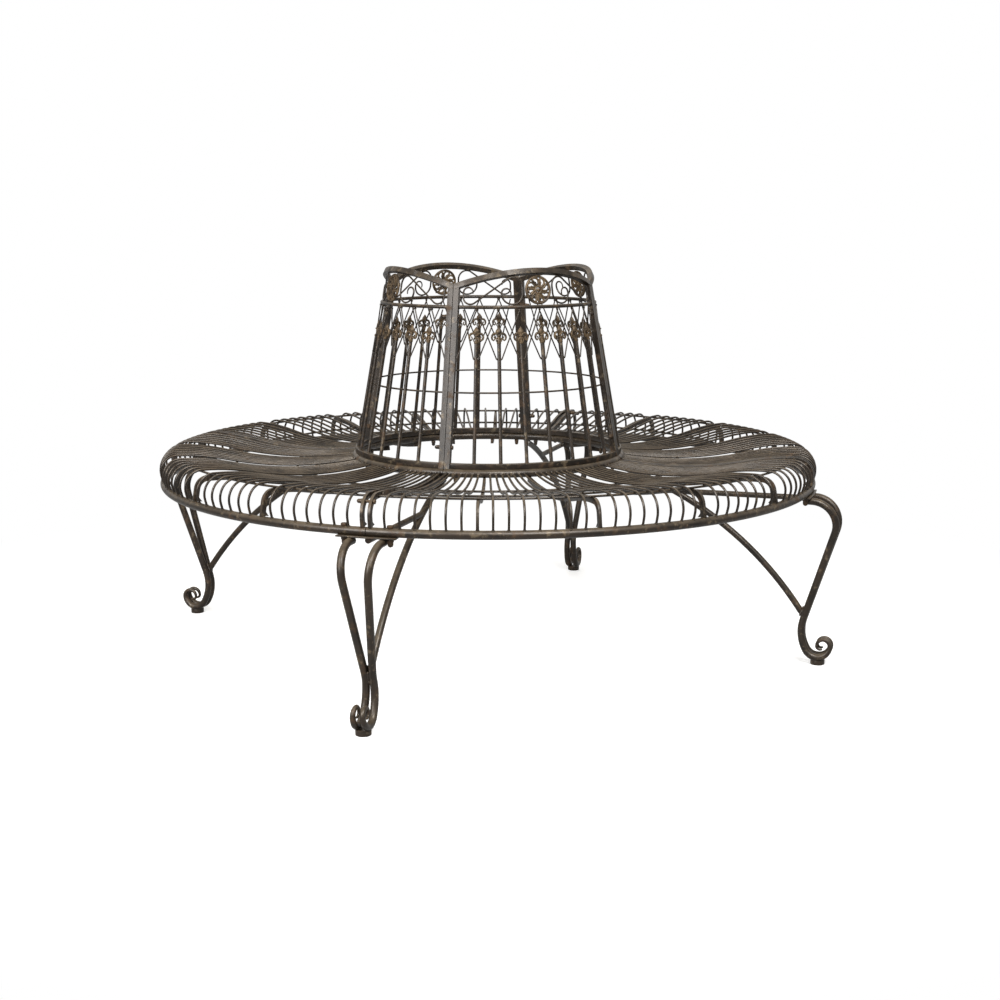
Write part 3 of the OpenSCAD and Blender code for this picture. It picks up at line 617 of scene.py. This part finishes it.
def scroll_path(sizes):
    """Points of a scroll from its inner hook to its outer hook, along the panel and upwards."""
    wire_r = sizes.wire_d / 2
    rest = BAND_TOP + wire_r + BAND_GAP
    volute_x = sizes.medallion_d / 2 + MEDALLION_GAP + wire_r + sizes.volute_bend
    volute = Vector((volute_x, rest + sizes.volute_bend))
    cap_x = volute.x - sizes.volute_bend + sizes.cap_bend
    cap = Vector((cap_x, arch_under(cap_x) - ARCH_GAP - wire_r - sizes.cap_bend))
    end_x = PANEL_R * (math.pi / 4 - math.asin(POST_FACE / PANEL_R)) - POST_GAP - wire_r
    tail = Vector((end_x - sizes.tail_bend, rest + sizes.tail_bend))
    hook_x = end_x - sizes.hook_bend
    hook = Vector((hook_x, arch_under(hook_x) - HOOK_GAP - wire_r - sizes.hook_bend))
    apart = tail - cap
    slope = math.degrees(math.asin((sizes.cap_bend + sizes.tail_bend) / apart.length)
                         + math.atan2(-apart.y, apart.x))
    inner = volute + Vector((sizes.volute_bend - sizes.hook_bend, 0.0))
    return without_repeats(
        flat_arc(inner, sizes.hook_bend, 200, 20, HOOK_STEPS)
        + flat_arc(volute, sizes.volute_bend, 0, -180, VOLUTE_STEPS)
        + flat_arc(cap, sizes.cap_bend, 180, 90 - slope, CAP_STEPS)
        + flat_arc(tail, sizes.tail_bend, -90 - slope, 0, CAP_STEPS)
        + flat_arc(hook, sizes.hook_bend, 0, 190, HOOK_STEPS))


class BENCH_OT_back_scrolls(bpy.types.Operator):
    """Bends the two mirrored scrolls of each back panel"""
    bl_idname = "bench.back_scrolls"
    bl_label = "Back scrolls"

    def execute(self, context):
        sizes = context.scene.bench_back
        flat = scroll_path(sizes)
        last = len(flat) - 1
        wire_r, tip_r = sizes.wire_d / 2, sizes.wire_tip_d / 2
        shares = [min(1.0, i / DRAWN_POINTS, (last - i) / DRAWN_POINTS) for i in range(last + 1)]
        radii = [tip_r + (wire_r - tip_r) * share for share in shares]
        for quarter in QUARTERS:
            bm = bmesh.new()
            for side in (1, -1):
                points = [on_back(math.degrees(side * p.x / PANEL_R), p.y) for p in flat]
                sweep(bm, *rounded_ends(points, radii), X_AXIS, sides=10)
            bmesh.ops.transform(bm, matrix=quarter_turn(quarter), verts=bm.verts)
            finish_piece(bm, f"Back_scrolls_{quarter}", "wire", (f"back_scrolls_{quarter}",))
        return {"FINISHED"}


def on_picket(number):
    """Carries a shape drawn at the origin, with its front on -Y, to the top of a picket."""
    turn = turn_z((number - (PICKETS + 1) / 2) * PICKET_PITCH)
    return turn @ leaned_to_back(PICKET_TOP)


def leaned_to_back(height):
    """Carries a shape whose front is on -Y to the front of the back at a height, in its lean."""
    lean_in = Matrix.Rotation(-BACK_LEAN, 4, "Y")
    return Matrix.Translation((back_r(height), 0.0, height)) @ lean_in @ turn_z(90)


def upright(points):
    """Points of the plane of a casting, across and up."""
    return [Vector((x, 0.0, z)) for x, z in points]


def cast_copy(bm, shape, sizes, place):
    """Adds one more casting, drawn at the origin, at its place."""
    before = set(bm.verts)
    shape(bm, sizes)
    bmesh.ops.transform(bm, matrix=place, verts=[v for v in bm.verts if v not in before])


# Turned parts of a finial from its foot up, as height and radius, in shares of its height and half width
FINIAL_SOCKET = ((0.0, 0.24), (0.02, 0.27), (0.10, 0.27), (0.13, 0.20))
FINIAL_STEM = ((0.12, 0.17), (0.30, 0.14), (0.55, 0.16))
FINIAL_COLLAR = ((0.43, 0.22), (0.445, 0.31), (0.50, 0.31), (0.515, 0.22))
FINIAL_SPEAR = (
    (0.50, 0.12), (0.57, 0.25), (0.65, 0.37), (0.72, 0.40),
    (0.80, 0.33), (0.89, 0.19), (0.96, 0.08), (1.0, 0.01),
)
# Leaves from the stem to the tip, as distance from the middle, height and radius, in the same shares
FINIAL_LEAF = (
    (0.08, 0.48, 0.10), (0.25, 0.57, 0.13), (0.48, 0.61, 0.155), (0.71, 0.57, 0.155),
    (0.88, 0.48, 0.14), (0.93, 0.37, 0.125), (0.87, 0.26, 0.11), (0.71, 0.20, 0.10),
    (0.56, 0.25, 0.09), (0.53, 0.34, 0.08), (0.62, 0.40, 0.085),
)
FINIAL_ROOT = (
    (0.06, 0.42, 0.08), (0.19, 0.35, 0.10), (0.31, 0.27, 0.10), (0.33, 0.18, 0.085), (0.25, 0.13, 0.075),
)
# How far the leaves reach out, and how flat spear and leaves are
LEAF_REACH = 0.93
SPEAR_FLAT = 0.5
LEAF_FLAT = 1.25


def finial_shape(bm, sizes):
    """A cast fleur-de-lis: socket, stem, collar, spear and two pairs of curled leaves."""
    w, h = sizes.finial_w / 2, sizes.finial_h

    def turned(outline, across, **look):
        sweep(bm, upright([(0.0, z * h) for z, _ in outline]), [r * w for _, r in outline], across, **look)

    turned(FINIAL_SOCKET, X_AXIS)
    turned(FINIAL_STEM, X_AXIS, sides=8)
    turned(FINIAL_COLLAR, X_AXIS, sides=10)
    turned(FINIAL_SPEAR, Y_AXIS, flat=SPEAR_FLAT, sides=10)
    for side in (1, -1):
        for outline in (FINIAL_LEAF, FINIAL_ROOT):
            points = upright([(side * x * w * LEAF_REACH, z * h) for x, z, _ in outline])
            path, radii = rounded_ends(points, [r * w for _, _, r in outline], start=False)
            sweep(bm, path, radii, Y_AXIS, flat=LEAF_FLAT, sides=8)


class BENCH_OT_finials(bpy.types.Operator):
    """Casts a fleur-de-lis for the top of each picket"""
    bl_idname = "bench.finials"
    bl_label = "Finials"

    def execute(self, context):
        bm = bmesh.new()
        for quarter in QUARTERS:
            for number in range(1, PICKETS + 1):
                cast_copy(bm, finial_shape, context.scene.bench_back,
                          quarter_turn(quarter) @ on_picket(number))
        finish_piece(bm, "Finials", "casting", ("finials",))
        return {"FINISHED"}


def spun_ring(bm, radius, half_w, half_d, steps):
    """A ring round the Y axis with an oval section."""
    section = Matrix.Translation((radius, 0.0, 0.0)) @ Matrix.Diagonal((half_w, half_d, 1.0, 1.0))
    made = bmesh.ops.create_circle(bm, segments=8, radius=1.0, matrix=section)["verts"]
    edges = list({edge for vert in made for edge in vert.link_edges})
    bmesh.ops.spin(bm, geom=made + edges, cent=(0.0, 0.0, 0.0), axis=(0.0, 1.0, 0.0), dvec=(0.0, 0.0, 0.0),
                   angle=2 * math.pi, steps=steps, use_merge=True, use_duplicate=False)


# Half the thickness of a medallion's rings, and its boss and pearls in shares of it
MEDALLION_DEPTH = 0.003
BOSS_DEPTH = 1.05
PEARL_DEPTH = 0.7
# Rings, as radius and half width in shares of the medallion's radius, and steps round it
MEDALLION_RINGS = ((0.915, 0.085, 56), (0.23, 0.075, 24))
# Radii of the boss, of a petal's bar and of its pearl, in the same shares
BOSS_SHARE = 0.13
PETAL_BAR = 0.075
PETAL_PEARL = 0.055
# Half of a petal's outline, along and across, and the point at its tip
PETAL_HALF = ((0.27, 0.04), (0.40, 0.09), (0.54, 0.155), (0.66, 0.20), (0.76, 0.18), (0.84, 0.10))
PETAL_TIP = (0.865, 0.0)
# How far a petal swirls for each radius that it reaches out, and from where on
PETAL_SWIRL = 0.6
PETAL_START = 0.28
# Where the pearl lies on the way from the petal's start to its tip
PEARL_AT = 0.45


def petal_path(r, turn):
    """Outline of a petal that leans further round the further out it is."""
    outline = [*PETAL_HALF, PETAL_TIP, *((x, -z) for x, z in reversed(PETAL_HALF))]
    points = []
    for along, side in outline:
        here = turn + math.atan2(side, along) + PETAL_SWIRL * (along - PETAL_START)
        reach = r * math.hypot(along, side)
        points.append(Vector((reach * math.cos(here), 0.0, reach * math.sin(here))))
    return points


def ball(bm, place, radius, depth, round_it, up_it):
    """A ball, flattened along Y to its depth, with so many faces round and up it."""
    matrix = Matrix.Translation(place) @ Matrix.Diagonal((radius, depth, radius, 1.0))
    bmesh.ops.create_uvsphere(bm, u_segments=round_it, v_segments=up_it, radius=1.0, matrix=matrix)


def medallion_shape(bm, sizes):
    """A round openwork casting: rim, hub, boss and swirled petals."""
    r = sizes.medallion_d / 2
    for radius, half_w, steps in MEDALLION_RINGS:
        spun_ring(bm, radius * r, half_w * r, MEDALLION_DEPTH, steps)
    ball(bm, Vector(), BOSS_SHARE * r, MEDALLION_DEPTH * BOSS_DEPTH, 12, 8)
    for petal in range(sizes.petals):
        points = petal_path(r, 2 * math.pi * petal / sizes.petals)
        sweep(bm, points, [PETAL_BAR * r] * len(points), Y_AXIS, flat=1.1, sides=8)
        tip = points[len(PETAL_HALF)]
        ball(bm, points[0].lerp(tip, PEARL_AT), PETAL_PEARL * r, MEDALLION_DEPTH * PEARL_DEPTH, 8, 6)


class BENCH_OT_medallions(bpy.types.Operator):
    """Casts a round openwork medallion for each panel"""
    bl_idname = "bench.medallions"
    bl_label = "Medallions"

    def execute(self, context):
        bm = bmesh.new()
        for quarter in QUARTERS:
            cast_copy(bm, medallion_shape, context.scene.bench_back,
                      quarter_turn(quarter) @ leaned_to_back(MEDALLION_H))
        finish_piece(bm, "Medallions", "casting", ("medallions",))
        return {"FINISHED"}


# Rounded edges on square tube, flat bar and fasteners

SQUARE_BARS = ("back_frame", "back_rails", "seat_ribs", "seat_end_ribs")
SQUARE_PIECES = ("rim_plates", "foot_pads")
FASTENERS = ("rim_bolts", "rail_studs", "rib_bolts", "post_bolts", "cap_nuts")
# Faces across a rounded edge
BAR_EDGE_STEPS = 3
PLATE_EDGE_STEPS = 2
FASTENER_EDGE_STEPS = 1


def rounded_copy(name, slot, width, segments):
    """A copy of a CAD node with its sharp edges rounded, which stands for the node."""
    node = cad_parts[name]
    bm = bmesh.new()
    bm.from_mesh(node.data)
    bmesh.ops.transform(bm, matrix=node.matrix_world, verts=bm.verts)
    bmesh.ops.remove_doubles(bm, verts=bm.verts, dist=MERGE)
    bmesh.ops.dissolve_limit(bm, angle_limit=FLAT_EDGE, verts=bm.verts, edges=bm.edges)
    corners = [edge for edge in bm.edges if edge.is_manifold and edge.calc_face_angle() > SHARP_EDGE]
    bmesh.ops.bevel(bm, geom=corners, offset=width, offset_type="OFFSET", segments=segments, profile=0.5,
                    affect="EDGES", clamp_overlap=True, material=-1)
    finish_piece(bm, name + "_rounded", slot, (name,))


class BENCH_OT_round_bars(bpy.types.Operator):
    """Rounds the edges of the square tubes, flat bars, plates and pads"""
    bl_idname = "bench.round_bars"
    bl_label = "Round the bars"

    def execute(self, context):
        width = context.scene.bench_details.edge_r
        for name in SQUARE_BARS:
            for quarter in QUARTERS:
                rounded_copy(f"{name}_{quarter}", "tube", width, BAR_EDGE_STEPS)
        for name in SQUARE_PIECES:
            rounded_copy(name, "tube", width, PLATE_EDGE_STEPS)
        return {"FINISHED"}


class BENCH_OT_round_fasteners(bpy.types.Operator):
    """Rounds the edges of the bolts and nuts"""
    bl_idname = "bench.round_fasteners"
    bl_label = "Round the fasteners"

    def execute(self, context):
        width = context.scene.bench_details.fastener_edge
        for name in FASTENERS:
            rounded_copy(name, "fastener", width, FASTENER_EDGE_STEPS)
        return {"FINISHED"}


# Weld beads

# Where the CAD model holds the wires and ribs of a quarter, the rim tube and the inner rail
WIRE_STEPS = 39
RIBS_AT = (7, 15, 23, 31)
FIRST_WIRE = 0.607
WIRE_PITCH = 2.2766
END_RIB_OFF = 0.008
TUBE_R = 0.009
RAIL_R = 0.312
RAIL_H = 0.4483
# Ends of a lattice wire: two heights, the upper one's angle from a picket, and its offset in or out
LATTICE_LOW = 0.694
LATTICE_HIGH = 0.8003
LATTICE_TOP_ANGLE = 0.3
LATTICE_OUT = 0.002
# Middle of the weld between two leg bars, and of that at the foot of a brace
WELD_PLACE = Vector((0.7543, 0.0, 0.1086))
BRACE_FOOT = Vector((0.7475, 0.0, 0.1185))
# Ripples of a leg's weld, and the steps between them in shares of a bead's radius
RIPPLES = 8
WELD_STEP = 0.7
BRACE_WELD_STEP = 0.55
# How far a leg's weld stands out, and a brace's lies beside its middle, in diameters of the bar
WELD_OUT = 0.22
BRACE_WELD_OFF = 0.42
# Directions in which the ends of wires and ribs stand off the rim tube and the inner rail
WIRE_FOOT = Vector((0.2755, 0.0, 0.961))
RIB_FOOT = Vector((-0.181, 0.0, 0.983))
END_RIB_FOOT = Vector((0.136, 0.0, 0.991))
INNER_END = Vector((0.99, 0.0, -0.12)).normalized()
# Shapes of the beads: along, across and out, in shares of the bead's radius
ROUND_BEAD = (1.0, 1.0, 0.55)
RIB_BEAD = (1.7, 1.1, 0.5)
PICKET_BEAD = (1.0, 1.0, 0.4)
FULL_BEAD = (1.0, 1.0, 1.0)
LEG_BEAD = (1.0, 0.9, 0.8)
BRACE_BEAD = (0.65, 0.65, 0.65)
# By what share a bead may differ from its size, and how far it is turned at most, in degrees
UNEVEN = 0.14
BEAD_TURN = 45


def bead(bm, chance, place, facing, radius, shape):
    """A lump of weld: a flattened ball at a place, its flat side against the bar that faces it."""
    size = [radius * share * (1.0 + chance.uniform(-UNEVEN, UNEVEN)) for share in shape]
    turn = facing.to_track_quat("Z", "X").to_matrix().to_4x4() @ turn_z(chance.uniform(0, BEAD_TURN))
    matrix = Matrix.Translation(place) @ turn @ Matrix.Diagonal((*size, 1.0))
    bmesh.ops.create_uvsphere(bm, u_segments=8, v_segments=5, radius=1.0, matrix=matrix)


class BENCH_OT_seat_welds(bpy.types.Operator):
    """Lays a bead round each end of the seat's wires and ribs"""
    bl_idname = "bench.seat_welds"
    bl_label = "Seat welds"

    def execute(self, context):
        sizes = context.scene.bench_details
        chance = random.Random(sizes.seed)
        bm = bmesh.new()
        rim = Vector((RIM_R, 0.0, RIM_H))
        rail = Vector((RAIL_R, 0.0, RAIL_H))

        def weld(turn, tube, facing, shape):
            place = turn @ (tube + facing * TUBE_R)
            bead(bm, chance, place, (turn @ facing).normalized(), sizes.wire_bead, shape)

        for quarter in QUARTERS:
            for i in range(1, WIRE_STEPS):
                turn = quarter_turn(quarter) @ turn_z(-45 + FIRST_WIRE + i * WIRE_PITCH)
                if i in RIBS_AT:
                    weld(turn, rim, RIB_FOOT, RIB_BEAD)
                else:
                    weld(turn, rim, WIRE_FOOT, ROUND_BEAD)
                    weld(turn, rail, INNER_END, ROUND_BEAD)
            turn = joint_turn(quarter)
            for side in (1, -1):
                off = Vector((0.0, side * END_RIB_OFF, 0.0))
                weld(turn, rim + off, END_RIB_FOOT, RIB_BEAD)
                weld(turn, rail + off, INNER_END, RIB_BEAD)
        finish_piece(bm, "Welds_seat", "wire")
        return {"FINISHED"}


class BENCH_OT_back_welds(bpy.types.Operator):
    """Lays the beads at the feet of the pickets and at both ends of the lattice wires"""
    bl_idname = "bench.back_welds"
    bl_label = "Back welds"

    def execute(self, context):
        sizes = context.scene.bench_details
        chance = random.Random(sizes.seed + 1)
        bm = bmesh.new()
        foot_h = FOOT_RAIL_H + FRAME_T / 2
        for quarter in QUARTERS:
            turn = quarter_turn(quarter)
            for number in range(1, PICKETS + 1):
                middle = (number - (PICKETS + 1) / 2) * PICKET_PITCH
                bead(bm, chance, turn @ on_back(middle, foot_h), Z_AXIS, sizes.picket_bead, PICKET_BEAD)
                for side in (1, -1):
                    beside = side * math.degrees(PICKET_R / back_r(LATTICE_LOW))
                    low = on_back(middle + beside, LATTICE_LOW, side * LATTICE_OUT)
                    high = on_back(middle + side * LATTICE_TOP_ANGLE, LATTICE_HIGH, -side * LATTICE_OUT)
                    for place in (low, high):
                        bead(bm, chance, turn @ place, Z_AXIS, sizes.lattice_bead, FULL_BEAD)
        finish_piece(bm, "Welds_back", "wire")
        return {"FINISHED"}


class BENCH_OT_leg_welds(bpy.types.Operator):
    """Lays the rippled weld between the two bars of each leg"""
    bl_idname = "bench.leg_welds"
    bl_label = "Leg welds"

    def execute(self, context):
        sizes = context.scene.bench_details
        legs = context.scene.bench_legs
        chance = random.Random(sizes.seed + 2)
        bm = bmesh.new()
        along = Vector((math.cos(legs.slope), 0.0, math.sin(legs.slope)))
        out = Vector((math.sin(legs.slope), 0.0, -math.cos(legs.slope)))
        for quarter in QUARTERS:
            turn = joint_turn(quarter)
            for i in range(RIPPLES):
                place = WELD_PLACE + along * (i - RIPPLES / 2) * sizes.leg_bead * WELD_STEP
                place += out * legs.bar_d * WELD_OUT
                bead(bm, chance, turn @ place, (turn @ out).normalized(), sizes.leg_bead, LEG_BEAD)
            for side in (1, -1):
                for i in range(RIPPLES):
                    place = BRACE_FOOT + Y_AXIS * side * legs.brace_d * BRACE_WELD_OFF
                    place += along * (i - RIPPLES / 3) * sizes.leg_bead * BRACE_WELD_STEP
                    inwards = (turn @ -X_AXIS).normalized()
                    bead(bm, chance, turn @ place, inwards, sizes.leg_bead, BRACE_BEAD)
        finish_piece(bm, "Welds_leg", "tube")
        return {"FINISHED"}


# CAD nodes

CASTINGS = ("finials", "medallions")
WIRES = ("seat_wires", "seat_hoops", "back_lattice", "back_scrolls")


def slot_of(name):
    """The record's material slot for a CAD node."""
    if name in CASTINGS:
        return "casting"
    if name in FASTENERS:
        return "fastener"
    return "wire" if name.startswith(WIRES) else "tube"


class BENCH_OT_finish_nodes(bpy.types.Operator):
    """Gives each CAD node the finish of its material slot"""
    bl_idname = "bench.finish_nodes"
    bl_label = "Finish the CAD nodes"

    def execute(self, context):
        for name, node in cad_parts.items():
            node.data.materials.clear()
            node.data.materials.append(bpy.data.materials[FINISHES[slot_of(name)]])
        return {"FINISHED"}


# Stage


class BENCH_OT_stage(bpy.types.Operator):
    """Makes the white floor, the soft lamps, the world and the camera"""
    bl_idname = "bench.stage"
    bl_label = "Stage"

    def execute(self, context):
        make_floor()
        make_world(context.scene)
        make_lamps()
        make_camera(context.scene)
        return {"FINISHED"}


# How white the room looks in a reflection, next to how the camera sees it
REFLECTED_SHARE = 0.35


def seen_rays(tree):
    """1 for the rays of the camera, a share for those of reflections, 0 for those that light the object."""
    path = add_node(tree, "ShaderNodeLightPath").outputs
    reflected = times(tree, path["Is Glossy Ray"], REFLECTED_SHARE)
    seen = calculate(tree, "MAXIMUM", path["Is Camera Ray"], reflected)
    return calculate(tree, "MAXIMUM", seen, path["Is Transmission Ray"])


# The floor shows the bench's shadow within the first radius and is plain white beyond the second
SHADOW_R = 0.9
WHITE_R = 1.9
FLOOR_HALF = 30.0
# Glow that lifts the paper to white, and the strength of the room's light
PAPER_GLOW = 0.42
ROOM_FILL = 0.33
# The paper as the camera sees it, the floor as it lights the bench, and the room's light
PAPER = "#f4f3f1"
FLOOR_LIGHT = "#6f6e6c"
ROOM_LIGHT = "#f6f4f0"
WHITE = (1.0, 1.0, 1.0, 1.0)


def mix_shaders(tree, factor, first, second):
    """Mixes the outputs of two shader nodes."""
    return add_node(tree, "ShaderNodeMixShader", inputs={
        0: factor, 1: first.outputs[0], 2: second.outputs[0]})


def make_floor():
    """A wide matt floor that the camera sees as white, with the bench's shadow on it."""
    mesh = bpy.data.meshes.new("Floor")
    bm = bmesh.new()
    bmesh.ops.create_grid(bm, x_segments=1, y_segments=1, size=FLOOR_HALF)
    bm.to_mesh(mesh)
    bm.free()
    floor = new_object("Floor", mesh)
    material, tree = new_material("Floor_studio_paper")
    paper = add_node(tree, "ShaderNodeBsdfDiffuse", inputs={"Color": linear(PAPER)})
    glow = add_node(tree, "ShaderNodeEmission", inputs={"Color": WHITE, "Strength": PAPER_GLOW})
    lit = add_node(tree, "ShaderNodeAddShader", inputs={0: paper.outputs["BSDF"], 1: glow.outputs[0]})
    white = add_node(tree, "ShaderNodeEmission", inputs={"Color": WHITE, "Strength": 1.0})
    place = add_node(tree, "ShaderNodeTexCoord").outputs["Object"]
    reach = add_node(tree, "ShaderNodeVectorMath", {"operation": "LENGTH"}, {0: place}).outputs["Value"]
    far = add_node(tree, "ShaderNodeMapRange", {"interpolation_type": "SMOOTHSTEP"}, {
        "Value": reach, "From Min": SHADOW_R, "From Max": WHITE_R}).outputs["Result"]
    seen = mix_shaders(tree, far, lit, white)
    # as light, the floor is a dull grey, so that the undersides of the bench stay dark
    dull = add_node(tree, "ShaderNodeBsdfDiffuse", inputs={"Color": linear(FLOOR_LIGHT)})
    shader = mix_shaders(tree, seen_rays(tree), dull, seen)
    add_node(tree, "ShaderNodeOutputMaterial", inputs={"Surface": shader.outputs[0]})
    mesh.materials.append(material)


def make_world(scene):
    """A pale room: white to the camera, dimmer in reflections and softer still as light."""
    world = bpy.data.worlds.new("Studio")
    world.use_nodes = True
    tree = world.node_tree
    tree.nodes.clear()
    fill = add_node(tree, "ShaderNodeBackground", inputs={"Color": linear(ROOM_LIGHT), "Strength": ROOM_FILL})
    white = add_node(tree, "ShaderNodeBackground", inputs={"Color": WHITE, "Strength": 1.0})
    shader = mix_shaders(tree, seen_rays(tree), fill, white)
    add_node(tree, "ShaderNodeOutputWorld", inputs={"Surface": shader.outputs[0]})
    scene.world = world


# Name, place, width and power of each lamp, and the place at which they aim
LAMPS = (
    ("Key", (2.2, -3.0, 3.8), 2.4, 210.0),
    ("Front", (-1.5, -3.9, 2.2), 2.2, 160.0),
    ("Back", (-1.8, 3.8, 3.2), 3.0, 80.0),
)
LAMP_AIM = Vector((0.0, 0.0, 0.4))


def make_lamps():
    """A broad key lamp high on the right, one in front on the left and a weaker one behind."""
    for name, place, size, power in LAMPS:
        lamp = bpy.data.lights.new(name, "AREA")
        lamp.size = size
        lamp.energy = power
        lamp_object = new_object(name, lamp)
        lamp_object.location = place
        aim = LAMP_AIM - Vector(place)
        lamp_object.rotation_euler = aim.to_track_quat("-Z", "Y").to_euler()
        # the lamp behind would glare off the far arch at a flat angle
        lamp_object.visible_glossy = name != "Back"


# Camera as fitted to the photograph: where it stands, its heading from +X, tilt, roll and lens
CAMERA_PLACE = (1.1663, -3.5577, 0.995)
CAMERA_HEADING = math.radians(107.73)
CAMERA_TILT = math.radians(-9.99)
CAMERA_ROLL = math.radians(0.05)
CAMERA_LENS = 57.34
CAMERA_SENSOR = 36.0


def make_camera(scene):
    """The camera at the photograph's angle."""
    data = bpy.data.cameras.new("Camera")
    data.sensor_width = CAMERA_SENSOR
    data.lens = CAMERA_LENS
    camera = new_object("Camera", data)
    turn = (Matrix.Rotation(CAMERA_HEADING - math.pi / 2, 4, "Z")
            @ Matrix.Rotation(CAMERA_TILT + math.pi / 2, 4, "X")
            @ Matrix.Rotation(CAMERA_ROLL, 4, "Z"))
    camera.matrix_world = Matrix.Translation(CAMERA_PLACE) @ turn
    scene.camera = camera
    scene.view_settings.view_transform = "Standard"


# Panel and registration

# In the order in which they are run
OPERATORS = (
    BENCH_OT_stage, BENCH_OT_finishes, BENCH_OT_finish_nodes, BENCH_OT_round_bars, BENCH_OT_round_fasteners,
    BENCH_OT_leg_bars, BENCH_OT_leg_braces, BENCH_OT_leg_welds, BENCH_OT_seat_welds, BENCH_OT_back_welds,
    BENCH_OT_back_scrolls, BENCH_OT_finials, BENCH_OT_medallions,
)
# Scene property and its group
GROUPS = {
    "bench_legs": BenchLegSizes, "bench_back": BenchBackSizes,
    "bench_details": BenchDetailSizes, "bench_colours": BenchColours,
}


class BENCH_PT_panel(bpy.types.Panel):
    """Lists the steps that dress the bench"""
    bl_idname = "BENCH_PT_panel"
    bl_label = "Tree bench"
    bl_space_type = "VIEW_3D"
    bl_region_type = "UI"
    bl_category = "Tree bench"

    def draw(self, context):
        for operator in OPERATORS:
            self.layout.operator(operator.bl_idname)
        for key in GROUPS:
            group = getattr(context.scene, key)
            for name in group.bl_rna.properties.keys():
                if name not in ("rna_type", "name"):
                    self.layout.prop(group, name)


def register():
    for name, group in GROUPS.items():
        bpy.utils.register_class(group)
        setattr(bpy.types.Scene, name, PointerProperty(type=group))
    for operator in OPERATORS:
        bpy.utils.register_class(operator)
    bpy.utils.register_class(BENCH_PT_panel)


def unregister():
    bpy.utils.unregister_class(BENCH_PT_panel)
    for operator in reversed(OPERATORS):
        bpy.utils.unregister_class(operator)
    for name, group in GROUPS.items():
        delattr(bpy.types.Scene, name)
        bpy.utils.unregister_class(group)


def main():
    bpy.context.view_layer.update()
    register()
    bpy.ops.bench.stage()
    bpy.ops.bench.finishes()
    bpy.ops.bench.finish_nodes()
    bpy.ops.bench.round_bars()
    bpy.ops.bench.round_fasteners()
    bpy.ops.bench.leg_bars()
    bpy.ops.bench.leg_braces()
    bpy.ops.bench.leg_welds()
    bpy.ops.bench.seat_welds()
    bpy.ops.bench.back_welds()
    bpy.ops.bench.back_scrolls()
    bpy.ops.bench.finials()
    bpy.ops.bench.medallions()


if __name__ == "__main__":
    main()
